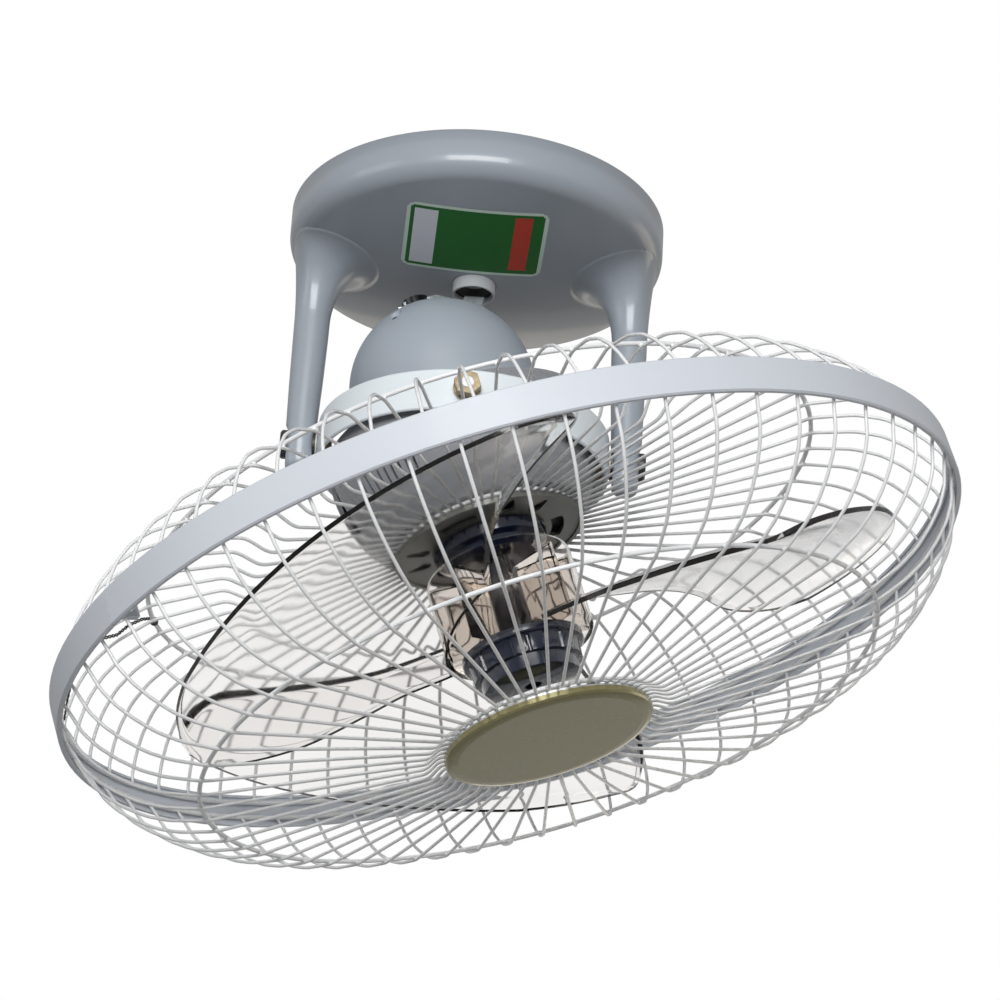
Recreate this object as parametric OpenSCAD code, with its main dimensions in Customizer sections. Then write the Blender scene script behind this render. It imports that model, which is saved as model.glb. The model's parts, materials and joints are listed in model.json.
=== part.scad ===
// Orbital ceiling fan: a canopy with two legs, a gimbal ring, and a caged fan head whose crank
// runs in the canopy's socket, so that the head's axis travels round a cone.
// Origin: centre of the canopy's ceiling face, +Z up. Head pieces are drawn along their own axis,
// with z measured forward from the gimbal centre, and head_frame() tilts them into place.

/* [Canopy] */
// Radius of the canopy at the ceiling
canopy_r = 98.7; // [85:0.1:120]
// Height from the ceiling face to the edge of the underside
canopy_h = 25.2; // [20:0.1:40]
// How far the underside swells down at its middle
canopy_sag = 9.8; // [0:0.1:14]
// Wall of the canopy
canopy_wall = 2.6; // [2:0.1:4]
// Radius of the rounded lower edge
canopy_round = 11; // [6:0.5:14]
// Gap between the canopy's rim and the ceiling plate, sideways
plate_gap = 3; // [1:0.5:6]
// Radius of the bore in the canopy's collar
collar_bore_r = 10.2; // [8:0.1:14]
// Height of the collar below the underside
collar_h = 6.5; // [4:0.5:12]

/* [Ceiling plate] */
// Thickness of the steel plate
plate_t = 2; // [1.5:0.1:4]
// Spacing of the ceiling screws, left to right
ceiling_holes_x = 36; // [30:1:60]
// Spacing of the ceiling screws, front to back
ceiling_holes_y = 100; // [80:1:120]
// Radius of a ceiling screw hole
ceiling_hole_r = 2.75; // [2:0.05:4]

/* [Legs and pivots] */
// Drop from the canopy's underside to the gimbal centre
leg_drop = 110.6; // [105:0.1:140]
// Thickness of a leg at its pivot
leg_t = 13.4; // [10:0.1:16]
// Radius of a leg half way down
leg_r = 9; // [7.5:0.1:10]
// Length of a leg below the pivot axis
leg_tail = 16.5; // [14:0.5:20]
// Radius of the four pivot bolts
bolt_r = 3; // [2.5:0.1:4]
// Radial running clearance of a pivot
pivot_clear = 0.06; // [0.03:0.01:0.1]
// Radius of the black pivot caps
cap_r = 7.5; // [6:0.5:9]

/* [Gimbal ring] */
// Inner radius of the ring
ring_r = 73; // [72.8:0.1:78]
// Thickness of the ring's strap
ring_t = 2.2; // [1.5:0.1:3]
// Height of the strap
ring_h = 22; // [18:1:26]

/* [Head] */
// Tilt of the head's axis, which is also the half angle of its orbit
tilt = 18.9; // [12:0.1:19]
// Radius of the rounded motor housing
motor_r = 70; // [66:0.1:70.4]
// Wall of the motor housing
motor_wall = 2.4; // [2:0.1:3]
// Radius of the rear dome
dome_r = 48.5; // [44:0.5:52]
// Distance of the dome's sphere centre behind the gimbal centre
dome_back = 39; // [34:0.5:42]
// Radius of the lock ring
lock_r = 49.9; // [48:0.1:52]
// Distance of the lock ring's back ahead of the gimbal centre
lock_z = 48.6; // [46:0.1:52]
// Radius of the motor shaft
shaft_r = 4; // [3:0.1:5]
// Air gap between rotor and stator
air_gap = 0.5; // [0.4:0.05:1]

/* [Blade] */
// Radius to the blade tips
blade_r = 197; // [180:1:205]
// Number of vanes
vanes = 3; // [2:1:5]
// Thickness of a vane
vane_t = 2.2; // [1.6:0.1:3]
// Outer radius of the blade's hub
hub_r = 38; // [34:0.5:42]

/* [Guards] */
// Outer radius of the guard band
band_r = 235; // [225:1:245]
// Height of the guard band
band_h = 18.4; // [16:0.2:24]
// Sheet thickness of the guard band
band_t = 1.4; // [1:0.1:2]
// Distance of the band's middle ahead of the gimbal centre
band_z = 91.5; // [88:0.5:96]
// Number of radial wires in each guard
wires = 60; // [30:1:72]
// Diameter of the radial wires
wire_d = 2; // [1.6:0.1:3]
// Diameter of the ring wires
hoop_d = 2.6; // [2:0.1:3.5]
// Radius of the hoop that stiffens each guard
hoop_r = 175; // [160:1:185]
// Radius of the front cap
front_cap_r = 53.8; // [48:0.1:60]
// Distance of the front cap's face ahead of the gimbal centre
front_z = 163; // [158:0.5:168]

/* [Hidden] */
$fn = 96;

steel_grey = [0.58, 0.59, 0.62];
dome_grey = [0.62, 0.65, 0.70];
white_paint = [0.93, 0.93, 0.92];
band_paint = [0.80, 0.82, 0.85];
zinc = [0.72, 0.73, 0.74];
champagne = [0.66, 0.64, 0.55];
navy = [0.12, 0.14, 0.24];
smoke = [0.30, 0.22, 0.18];
black = [0.08, 0.08, 0.09];
brass = [0.72, 0.56, 0.28];
copper = [0.70, 0.38, 0.22];

// Shared gaps
seat = 0.05;            // between pieces that seat on each other
slack = 0.4;            // between pieces that move past each other
nut_h = 4.5;
washer_t = 2;
bush_t = 0.8;

// Levels and places
gimbal_z = -(canopy_h + leg_drop);
ring_out = ring_r + ring_t;
leg_in = ring_out + washer_t + 2 * seat;
leg_out = leg_in + leg_t;
leg_x = (leg_in + leg_out) / 2;
nut_in = ring_r - bush_t - seat - nut_h;
bush_r = bolt_r + 1.6;
ring_bore_r = bush_r + seat;

// ---------- helpers ----------

module head_frame() {
    translate([0, 0, gimbal_z]) rotate([0, -tilt, 0]) rotate([180, 0, 0]) children();
}

module along_x() { rotate([0, 90, 0]) children(); }

module both_sides() {
    for (side = [0, 180]) rotate([0, 0, side]) children();
}

module round_spread(count, radius, start = 0) {
    for (i = [0 : count - 1]) rotate([0, 0, start + i * 360 / count]) translate([radius, 0, 0]) children();
}

module tube(r_out, r_in, h) {
    difference() {
        cylinder(r = r_out, h = h);
        translate([0, 0, -1]) cylinder(r = r_in, h = h + 2);
    }
}

module hex_nut(across, h, bore) {
    difference() {
        cylinder(r = across / 2 / cos(30), h = h, $fn = 6);
        translate([0, 0, -1]) cylinder(r = bore, h = h + 2);
    }
}

// Pan head screw: the head stands on z = 0, the shank goes down
module pan_screw(r, length, head_r, head_h) {
    translate([0, 0, -length]) cylinder(r = r, h = length + head_h / 2, $fn = 32);
    rotate_extrude($fn = 48)
        polygon([[0, 0], [head_r, 0], [head_r, head_h * 0.5], [head_r * 0.75, head_h], [0, head_h]]);
}

// Points of an arc about the origin from angle a to angle b in n steps
function arc(r, a, b, n, centre = [0, 0]) =
    [for (i = [0 : n]) centre + r * [cos(a + (b - a) * i / n), sin(a + (b - a) * i / n)]];

function mix(a, b, t) = a + (b - a) * t;

// ---------- canopy ----------

canopy_in = canopy_r - canopy_wall;
floor_z = -canopy_h;
outer_line = canopy_profile(canopy_r, 0, floor_z, canopy_round);
middle_z = outer_line[len(outer_line) - 1][1];
collar_out_r = collar_bore_r + 1.05;
block_x = 58;
pad_w = 20;
pad_l = 40;
strap_w = ceiling_holes_x + 20;
tongue_w = strap_w / 2;
hook_y = -(sqrt(canopy_in * canopy_in - strap_w * strap_w / 4) - 1);
tongue_y = -(sqrt(canopy_in * canopy_in - tongue_w * tongue_w / 4) - 0.8);
screw_az = [60, 120];
ear_r = canopy_in - plate_gap;
ear_h = 12;
side_screw_z = -plate_t - ear_h / 2;
plate_bar = 22;

tongue_h = 6;

module ceiling_plate() {
    color(zinc) difference() {
        union() {
            translate([-strap_w / 2, hook_y, -plate_t]) cube([strap_w, -hook_y + ear_r * sin(60), plate_t]);
            translate([-ear_r * cos(60), ear_r * sin(60) - plate_bar, -plate_t])
                cube([2 * ear_r * cos(60), plate_bar, plate_t]);
            for (az = screw_az) rotate([0, 0, az])
                translate([ear_r - 2 * plate_t, -plate_bar / 2, -plate_t - ear_h])
                    cube([2 * plate_t, plate_bar, ear_h + plate_t]);
            translate([-strap_w / 2, hook_y, -plate_t - tongue_h]) cube([strap_w, plate_t, tongue_h]);
            translate([-tongue_w / 2, tongue_y, -plate_t - tongue_h])
                cube([tongue_w, hook_y - tongue_y + plate_t, plate_t]);
        }
        for (x = [-1, 1], y = [-1, 1])
            translate([x * ceiling_holes_x / 2, y * ceiling_holes_y / 2, -plate_t - 1])
                cylinder(r = ceiling_hole_r, h = plate_t + 2);
        for (az = screw_az) rotate([0, 0, az])
            translate([ear_r - 2 * plate_t - 1, 0, side_screw_z]) along_x() cylinder(r = 2.05, h = 3 * plate_t);
        translate([0, 0, -plate_t - 1]) cylinder(r = 12, h = plate_t + 2);
    }
}

// Half section of the bowl: straight side, rounded edge, and an underside that swells to the middle
function canopy_profile(r, top, bottom, edge) = let (
    middle = [r - edge, bottom + edge],
    turn = 90 - atan(2 * canopy_sag / r),
    join = middle + edge * [cos(turn), -sin(turn)])
    concat([[0, top], [r, top]], arc(edge, 0, -turn, 11, middle),
        [for (i = [1 : 12]) let (t = 1 - i / 12) [join[0] * t, join[1] - canopy_sag * (1 - t * t)]]);

// One leg: a round trumpet under the canopy with flats where the pivot seats
module leg() {
    top = -canopy_h + canopy_wall / 2;
    flare = 34;
    spread = 22;
    neck_r = leg_r + 1.4;
    foot = gimbal_z - leg_tail;
    foot_r = leg_t / 2 + 1.3;
    difference() {
        intersection() {
            translate([leg_x, 0, 0]) rotate_extrude() polygon(concat(
                [[0, top], [neck_r + spread, top]],
                [for (a = [0 : 9 : 90]) [neck_r + spread * (1 - sin(a)), -canopy_h - flare * (1 - cos(a))]],
                [[leg_r, gimbal_z + leg_drop * 0.42], [foot_r, gimbal_z + 10], [foot_r, foot + 6]],
                arc(6, 0, -90, 6, [foot_r - 6, foot + 6]), [[0, foot]]));
            translate([0, 0, foot - 1]) cylinder(r = canopy_r - 1.5, h = -foot + 1);
        }
        translate([leg_in - 10, -20, foot - 1]) cube([10, 40, leg_tail + 12]);
        translate([leg_out, -20, foot - 1]) cube([10, 40, leg_tail + 12]);
        translate([leg_in - 1, 0, gimbal_z]) along_x() cylinder(r = bolt_r + seat, h = leg_t + 2);
    }
}

module canopy() {
    ledge_z = -tongue_h + seat;
    ledge_w = 36;
    color(steel_grey) difference() {
        union() {
            difference() {
                rotate_extrude() polygon(outer_line);
                rotate_extrude() polygon(canopy_profile(canopy_in, 1, floor_z + canopy_wall,
                    canopy_round - canopy_wall));
            }
            // ledge that hangs on the plate's tongue
            intersection() {
                translate([-ledge_w / 2, -canopy_r, ledge_z]) cube([ledge_w, canopy_r + hook_y - seat, 2]);
                translate([0, 0, -20]) cylinder(r = canopy_r - 1, h = 40);
            }
            both_sides() leg();
            // pads that the terminal block and the capacitor stand on
            intersection() {
                rotate_extrude() polygon(outer_line);
                for (side = [-1, 1]) translate([side * block_x - pad_w / 2, -pad_l / 2, middle_z])
                    cube([pad_w, pad_l, floor_z + canopy_wall - middle_z]);
            }
        }
        translate([0, 0, middle_z - 1]) cylinder(r = collar_out_r, h = canopy_wall + 2);
        for (az = screw_az) rotate([0, 0, az])
            translate([canopy_in - 2, 0, side_screw_z]) along_x() cylinder(r = 2.2, h = canopy_wall + 6);
        // supply cable inlet in the floor's rear
        translate([0, canopy_r * 0.62, middle_z]) cylinder(r = 5, h = canopy_sag + canopy_wall + 2);
    }
}

module canopy_screws() {
    color(zinc) for (az = screw_az) rotate([0, 0, az])
        translate([canopy_r + seat, 0, side_screw_z]) along_x() pan_screw(2, canopy_wall + plate_gap + 4, 4, 2.6);
}

// Lighter thin-walled ring pressed into the canopy's middle, in which the crank's end turns
module collar_bush() {
    color([0.78, 0.79, 0.81]) translate([0, 0, middle_z - collar_h]) difference() {
        union() {
            cylinder(r = collar_out_r - seat, h = collar_h + canopy_wall + 1);
            translate([0, 0, collar_h + canopy_wall + slack]) cylinder(r = collar_bore_r + 5, h = 1.6);
        }
        translate([0, 0, -1]) cylinder(r = collar_bore_r, h = collar_h + 8);
    }
}

// Rubber seat of the crank's end, held deep in the bush
module crank_socket() {
    sunk = 3.5;
    color(black) translate([0, 0, middle_z - collar_h + sunk])
        tube(collar_bore_r - seat, 8.6, collar_h + canopy_wall - sunk);
}

module terminal_block() {
    base_z = floor_z + canopy_wall + seat;
    color([0.90, 0.90, 0.86]) translate([block_x, 0, base_z]) difference() {
        union() {
            translate([-7, -18, 0]) cube([14, 36, 8]);
            for (y = [-12, 0, 12]) translate([0, y, 0]) cylinder(r = 5, h = 12, $fn = 32);
        }
        for (y = [-12, 0, 12]) {
            translate([0, y, 4]) cylinder(r = 2.4, h = 10, $fn = 24);
            translate([-8, y, 4]) along_x() cylinder(r = 1.8, h = 16, $fn = 24);
        }
    }
}

module capacitor() {
    base_z = floor_z + canopy_wall + seat;
    color([0.85, 0.86, 0.88]) translate([-block_x, 0, base_z]) {
        translate([-9, -19, 0]) cube([18, 38, 15]);
        for (y = [-6, 6]) translate([-0.4, y - 2, 14]) cube([0.8, 4, 6]);
    }
}

// ---------- leg pivots ----------

module pivot_bolts() {
    length = leg_out - nut_in;
    color(zinc) translate([0, 0, gimbal_z]) both_sides() translate([nut_in, 0, 0]) along_x() {
        cylinder(r = bolt_r, h = length);
        translate([0, 0, length + seat]) cylinder(r = bolt_r + 2.4, h = 1.6, $fn = 6);
        translate([0, 0, length - 1]) cylinder(r = bolt_r, h = 1.5);
    }
}

module pivot_caps() {
    skirt = 3.4;
    color(black) translate([0, 0, gimbal_z]) both_sides() translate([leg_out + seat, 0, 0]) along_x()
        difference() {
            rotate_extrude() polygon([[0, 0], [cap_r, 0], [cap_r, skirt - 1], [cap_r - 1, skirt], [0, skirt]]);
            translate([0, 0, -1]) cylinder(r = bolt_r + 2.8, h = skirt);
        }
}

module pivot_washers() {
    color(black) translate([0, 0, gimbal_z]) both_sides() translate([ring_out + bush_t, 0, 0]) along_x()
        tube(cap_r, bolt_r + seat, leg_in - seat - ring_out - bush_t);
}

module pivot_nuts() {
    color(brass) translate([0, 0, gimbal_z]) both_sides() translate([nut_in, 0, 0]) along_x()
        rotate([0, 0, 30]) hex_nut(13, nut_h, bolt_r + seat / 2);
}

// ---------- gimbal ring ----------

module gimbal_ring() {
    color(white_paint) translate([0, 0, gimbal_z]) difference() {
        translate([0, 0, -ring_h / 2]) rotate_extrude() polygon([
            [ring_r, 0.6], [ring_r + 0.6, 0], [ring_out - 0.6, 0], [ring_out, 0.6],
            [ring_out, ring_h - 0.6], [ring_out - 0.6, ring_h], [ring_r + 0.6, ring_h], [ring_r, ring_h - 0.6]]);
        for (az = [0 : 90 : 270]) rotate([0, 0, az])
            translate([ring_r - 2, 0, 0]) along_x() cylinder(r = ring_bore_r, h = ring_t + 4);
    }
}

// Flanged nylon bushes, pressed into the ring's four bores from both faces
flange_w = 2.5;
strap_sag = ring_r - sqrt(ring_r * ring_r - (bush_r + flange_w) * (bush_r + flange_w));

module ring_bushes() {
    color([0.86, 0.86, 0.84]) translate([0, 0, gimbal_z]) for (az = [0 : 90 : 270]) rotate([0, 0, az])
        translate([ring_r - bush_t + seat, 0, 0]) along_x() difference() {
            union() {
                cylinder(r = bush_r, h = ring_t + 2 * bush_t - 2 * seat);
                difference() {
                    cylinder(r = bush_r + flange_w, h = ring_t + 2 * bush_t - 2 * seat);
                    // room for the curved strap between the flanges
                    translate([0, 0, bush_t - strap_sag - 2 * seat])
                        cylinder(r = bush_r + 3, h = ring_t + strap_sag + 2 * seat);
                }
            }
            translate([0, 0, -1]) cylinder(r = bolt_r + pivot_clear, h = ring_t + 2 * bush_t + 2);
        }
}

// ---------- motor ----------

split_z = -9;
rear_z = -18;
bell_z = lock_z - seat - wire_d - hoop_d + 0.4;
bell_r = 52;
spigot_r = 45.4;
flange_r = dome_r + 5;

// Outer line of the housing between two distances from the gimbal centre
function housing_line(r, z0, z1, n) = [for (i = [0 : n]) let (z = mix(z0, z1, i / n)) [sqrt(r * r - z * z), z]];

// Grooves that let the pivot nuts swing past the housing
module nut_groove() {
    reach = nut_in - slack;
    difference() {
        translate([-ring_r, -9, -reach * sin(tilt + 10)]) cube([2 * ring_r, 18, 2 * reach * sin(tilt + 10)]);
        rotate([90, 0, 0]) translate([0, 0, -10]) cylinder(r = reach, h = 20);
    }
}

boss_az = 45;
boss_ring = 61;
dome_screw_ring = 34.5;
dome_screw_az = [119, 239, 359];
swing_az = 29;
foot_ring = 34;

module screw_bosses(r, z0, z1) {
    round_spread(4, boss_ring, boss_az) translate([0, 0, z0]) cylinder(r = r, h = z1 - z0, $fn = 32);
}

module cross_bosses(r) {
    for (side = [-90, 90]) rotate([0, 0, side]) translate([motor_r - 12, 0, 0]) along_x()
        cylinder(r = r, h = ring_r - bush_t - slack - motor_r + 12);
}

module cross_bores() {
    for (side = [-90, 90]) rotate([0, 0, side]) translate([motor_r - 13, 0, 0]) along_x()
        cylinder(r = bolt_r + seat / 2, h = 30);
}

stator_out = 50;
stator_in = 30;
stator_z0 = -13;
stator_z1 = 21;
bearing_r = 11;
bearing_h = 7;

module motor_rear_housing() {
    floor_in = rear_z + motor_wall;
    color(steel_grey) difference() {
        rotate_extrude() polygon(concat([[bearing_r + seat, rear_z], [flange_r, rear_z]],
            housing_line(motor_r, rear_z + 6, split_z - seat, 8), [[bearing_r + seat, split_z - seat]]));
        difference() {
            rotate_extrude() polygon(concat([[0, floor_in], [flange_r - 2, floor_in]],
                [for (p = housing_line(motor_r, floor_in + 6, split_z, 8)) [p[0] - motor_wall, p[1]]],
                [[motor_r, split_z + 1], [0, split_z + 1]]));
            translate([0, 0, floor_in - 1]) tube(bearing_r + 3, bearing_r + seat, bearing_h + 1);
            screw_bosses(4.4, rear_z, split_z - seat);
        }
        nut_groove();
        screw_bosses(1.6, rear_z - 1, split_z + 1);
        screw_bosses(3.5, rear_z - 1, screw_seat_z);
        for (az = dome_screw_az) rotate([0, 0, az]) translate([dome_screw_ring, 0, rear_z - 1])
            cylinder(r = 1.55, h = motor_wall + 2, $fn = 24);
        round_spread(2, foot_ring, swing_az) translate([0, 0, rear_z - 1])
            cylinder(r = 1.55, h = motor_wall + 2, $fn = 24);
        round_spread(24, 44) translate([0, 0, rear_z - 1]) cylinder(r = 1.7, h = motor_wall + 2, $fn = 24);
    }
}

screw_seat_z = split_z - 3.5;
vent_w = 1.5;
vent_z = 8;
vent_h = 19;
vent_step = 3.75;

module motor_front_housing() {
    floor_in = bell_z - motor_wall;
    color(steel_grey) difference() {
        union() {
            difference() {
                union() {
                    rotate_extrude() polygon(concat([[bearing_r + seat, split_z]],
                        housing_line(motor_r, split_z, 32, 10),
                        [[57, 39], [bell_r, bell_z], [bearing_r + seat, bell_z]]));
                    cross_bosses(8);
                }
                difference() {
                    rotate_extrude() polygon(concat([[0, split_z - 1], [motor_r - 4, split_z - 1]],
                        [for (p = housing_line(motor_r, split_z, 32, 10)) [p[0] - motor_wall, p[1]]],
                        [[54.5, 38], [bell_r - 2, floor_in], [0, floor_in]]));
                    cross_bosses(8);
                    screw_bosses(4.4, split_z - 1, 6);
                    // webs between the screw bosses and the wall
                    round_spread(4, boss_ring, boss_az) translate([0, -2, split_z - 1]) cube([9, 4, 7 - split_z]);
                    translate([0, 0, floor_in - bearing_h]) tube(bearing_r + 3, bearing_r + seat, bearing_h + 1);
                    // seat of the stator
                    translate([0, 0, stator_z0 + 9]) tube(stator_out + 2.5, stator_out + seat, 60);
                }
            }
            // spigot that centres the rear guard
            translate([0, 0, bell_z - 1]) tube(spigot_r, spigot_r - 2.4, lock_z - seat - bell_z + 1);
        }
        nut_groove();
        cross_bores();
        screw_bosses(1.55, split_z - 1, 5);
        // four groups of narrow upright cooling slots
        for (group = [0 : 3], i = [-4 : 4]) rotate([0, 0, boss_az + group * 90 + i * vent_step])
            translate([stator_out + 3, -vent_w / 2, vent_z]) cube([30, vent_w, vent_h]);
        // small round vents in the bell's face
        round_spread(18, 38) translate([0, 0, floor_in - 1]) cylinder(r = 2, h = motor_wall + 2, $fn = 24);
    }
}

module stator_core() {
    slots = 16;
    color([0.45, 0.46, 0.48]) translate([0, 0, stator_z0 + 8]) difference() {
        cylinder(r = stator_out, h = stator_z1 - stator_z0 - 16);
        translate([0, 0, -1]) cylinder(r = stator_in, h = 60);
        round_spread(slots, stator_in + 7) translate([0, 0, -1]) cylinder(r = 3.2, h = 60, $fn = 24);
        for (i = [0 : slots - 1]) rotate([0, 0, i * 360 / slots])
            translate([stator_in - 2, -0.8, -1]) cube([8, 1.6, 60]);
    }
}

module stator_windings() {
    color(copper) for (z = [stator_z0, stator_z1 - 8 + seat]) translate([0, 0, z])
        rotate_extrude() polygon(concat([[stator_in + 4, 8 - seat], [stator_in + 4, 3]],
            arc(3, 180, 270, 5, [stator_in + 7, 3]), arc(3, 270, 360, 5, [stator_out - 7, 3]),
            [[stator_out - 4, 8 - seat]]));
}

module bearing() {
    color(zinc) difference() {
        cylinder(r = bearing_r, h = bearing_h);
        translate([0, 0, -1]) cylinder(r = shaft_r + pivot_clear, h = bearing_h + 2);
        for (z = [-0.5, bearing_h - 0.5]) translate([0, 0, z]) tube(bearing_r - 2, shaft_r + 2, 1);
    }
}

module rear_bearing() { translate([0, 0, rear_z + motor_wall]) bearing(); }
module front_bearing() { translate([0, 0, bell_z - motor_wall - bearing_h]) bearing(); }

module housing_screws() {
    color(zinc) round_spread(4, boss_ring, boss_az) translate([0, 0, screw_seat_z - seat]) rotate([180, 0, 0])
        pan_screw(1.5, 3 - screw_seat_z, 3.2, 2.2);
}

module cross_pivot_studs() {
    color(zinc) for (side = [-90, 90]) rotate([0, 0, side]) translate([motor_r - 12, 0, 0]) along_x()
        cylinder(r = bolt_r, h = ring_out + 8 - motor_r + 12);
}

module cross_pivot_nuts() {
    color(brass) for (side = [-90, 90]) rotate([0, 0, side]) translate([ring_out + bush_t + slack, 0, 0]) along_x() {
        tube(bolt_r + 4, bolt_r + seat / 2, 1);
        translate([0, 0, 1 + seat]) hex_nut(12, 5.5, bolt_r + seat / 2);
    }
}

// ---------- rear dome and swing motor ----------

dome_wall = 2;
can_r = 25;
can_h = 20;
can_z = -68;
swing_shaft_r = 3.5;
apex_z = -(dome_back + dome_r);
apex_hole_r = 9;

module swing_motor() {
    color([0.75, 0.76, 0.78]) rotate([0, 0, swing_az]) translate([0, 0, can_z]) difference() {
        union() {
            cylinder(r = can_r, h = can_h);
            translate([0, 0, -4]) cylinder(r = 7, h = 4.1);
            both_sides() translate([can_r - 1, -4, 0]) cube([7, 8, 1.2]);
        }
        translate([0, 0, -5]) cylinder(r = swing_shaft_r + pivot_clear, h = can_h);
        both_sides() translate([can_r + 3, 0, -1]) cylinder(r = 1.7, h = 4, $fn = 24);
    }
}

// Strip that carries the swing motor on the motor's rear housing
module swing_motor_bracket() {
    leg_h = rear_z - can_z - 1.2 - seat;
    color(zinc) rotate([0, 0, swing_az]) difference() {
        both_sides() {
            translate([can_r + 0.6, -6, can_z + 1.2 + seat]) cube([7, 12, 1.5]);
            translate([can_r + 1, -6, can_z + 1.2 + seat]) cube([1.5, 12, leg_h - seat]);
            translate([can_r + 1, -6, rear_z - 1.5 - seat]) cube([13, 12, 1.5]);
        }
        both_sides() {
            translate([can_r + 3 + 1.5, 0, can_z]) cylinder(r = 1.3, h = 5, $fn = 24);
            translate([foot_ring, 0, rear_z - 3]) cylinder(r = 1.7, h = 5, $fn = 24);
        }
    }
}

module swing_motor_screws() {
    color(zinc) round_spread(2, foot_ring, swing_az) translate([0, 0, rear_z - 1.5 - 2 * seat]) rotate([180, 0, 0])
        pan_screw(1.5, 4.5, 2.8, 1.8);
}

dome_screw_z = -68.5;

module dome_solid(r) {
    translate([0, 0, -dome_back]) sphere(r = r);
    translate([0, 0, -dome_back]) cylinder(r = r, h = dome_r + 1);
}

module dome_cover() {
    inner = dome_r - dome_wall;
    color(dome_grey) difference() {
        union() {
            difference() {
                dome_solid(dome_r);
                difference() {
                    dome_solid(inner);
                    for (az = dome_screw_az) rotate([0, 0, az]) translate([dome_screw_ring, 0, apex_z])
                        cylinder(r = 4.6, h = rear_z - apex_z, $fn = 32);
                }
            }
            translate([0, 0, rear_z - seat - 3]) tube(dome_r + 1.6, inner, 3);
        }
        translate([0, 0, rear_z - seat]) cylinder(r = dome_r + 5, h = dome_r + 20);
        translate([0, 0, apex_z - 5]) cylinder(r = apex_hole_r, h = 20);
        for (az = dome_screw_az) rotate([0, 0, az]) translate([dome_screw_ring, 0, apex_z]) {
            cylinder(r = 1.7, h = rear_z - apex_z + 1, $fn = 24);
            cylinder(r = 3.6, h = dome_screw_z - apex_z, $fn = 32);
        }
    }
}

module dome_screws() {
    color(zinc) for (az = dome_screw_az) rotate([0, 0, az])
        translate([dome_screw_ring, 0, dome_screw_z - seat]) rotate([180, 0, 0])
            pan_screw(1.5, rear_z - dome_screw_z + 4, 3, 2);
}

module dome_grommet() {
    color(black) translate([0, 0, apex_z - 2]) difference() {
        union() {
            rotate_extrude() polygon([[5, 0], [apex_hole_r + 0.5, 0.4], [apex_hole_r + 2, 1.2],
                [apex_hole_r + 2, 1.9], [5, 1.9]]);
            cylinder(r = apex_hole_r - seat, h = 6);
        }
        translate([0, 0, -1]) cylinder(r = 5, h = 10);
    }
}

// ---------- crank ----------

crank_w = 12;
crank_t = 2;
crank_z = apex_z - 2 - slack - crank_t / 2;
crank_screw_z = crank_z - 1;
mouth_gap = 0.6;
crank_reach = middle_z - gimbal_z - collar_h - mouth_gap;
crank_flat = 11;
crank_rise = 85.6;
crank_past = 6;
crank_boss_r = 7.5;
crank_boss_top = floor(10 * sqrt(crank_reach * crank_reach - crank_boss_r * crank_boss_r)) / 10;
tab_w = 10.2;
tab_lean = 2.2;
tab_out = 5.9;
tab_foot = crank_rise - 0.5;
tab_top = floor(10 * sqrt(crank_reach * crank_reach - tab_out * tab_out - crank_t * crank_t / 4)) / 10;
tab_hole_h = 90;
strip_fall = 0.2;

// A place beside the plumb line under the canopy, in the head's own frame: across, forward
function plumb(h, beside = 0) = h * [sin(tilt), -cos(tilt)] + beside * [cos(tilt), sin(tilt)];

// The strip's side view, offset to one side of its middle line
function strip_side(off) = let (
    line = plumb(crank_rise) - [crank_flat, crank_z],
    slope = line / norm(line),
    across = [-slope[1], slope[0]])
    [[-7, crank_z + off], [crank_flat - 0.1 * off, crank_z + off],
     plumb(crank_rise) + crank_past * slope + off * across];

// Arm bent from strip, with an upright tab on its end that leads the head round under the collar
module crank_arm() {
    one = strip_side(crank_t / 2);
    other = strip_side(-crank_t / 2);
    color(zinc) difference() {
        union() {
            rotate([90, 0, 0]) translate([0, 0, -crank_w / 2]) linear_extrude(crank_w)
                polygon(concat(one, [for (i = [2 : -1 : 0]) other[i]]));
            rotate([90, 0, 0]) translate([0, 0, -crank_t / 2]) linear_extrude(crank_t)
                polygon([plumb(tab_foot + tab_w * strip_fall, tab_out - tab_lean - tab_w),
                    plumb(tab_foot, tab_out - tab_lean), plumb(tab_top, tab_out), plumb(tab_top, tab_out - tab_w)]);
            translate([0, 0, -crank_boss_top])
                cylinder(r = crank_boss_r, h = crank_boss_top + crank_z + crank_t / 2);
        }
        translate([0, 0, crank_z - 10]) cylinder(r = swing_shaft_r + seat, h = 20);
        translate([-12, 0, crank_screw_z]) along_x() cylinder(r = 1.25, h = 12, $fn = 24);
        translate([plumb(tab_hole_h)[0], 0, plumb(tab_hole_h)[1]]) rotate([90, 0, 0])
            cylinder(r = 1.2, h = 2 * crank_t, center = true, $fn = 32);
    }
}

module swing_shaft() {
    color(zinc) translate([0, 0, -crank_boss_top])
        cylinder(r = swing_shaft_r, h = can_z + 10 + crank_boss_top);
}

module crank_screw() {
    color(zinc) translate([-9.5, 0, crank_screw_z]) along_x() cylinder(r = 1.2, h = 5.5, $fn = 24);
}

// ---------- front of the motor ----------

// A round hole that runs out to a narrow round end along tangent sides
module teardrop_hole(r, length) {
    tip_r = r * 0.35;
    lean = asin((r - tip_r) / length);
    normal = [sin(lean), cos(lean)];
    flip = [normal[0], -normal[1]];
    far = [length, 0];
    linear_extrude(10) {
        circle(r = r, $fn = 32);
        translate(far) circle(r = tip_r, $fn = 32);
        polygon([r * normal, far + tip_r * normal, far + tip_r * flip, r * flip]);
    }
}

module crescent_hole(radius, sweep) {
    rotate([0, 0, -sweep / 2]) rotate_extrude(angle = sweep) translate([radius - 3.2, 0]) square([6.4, 10]);
}

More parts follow.
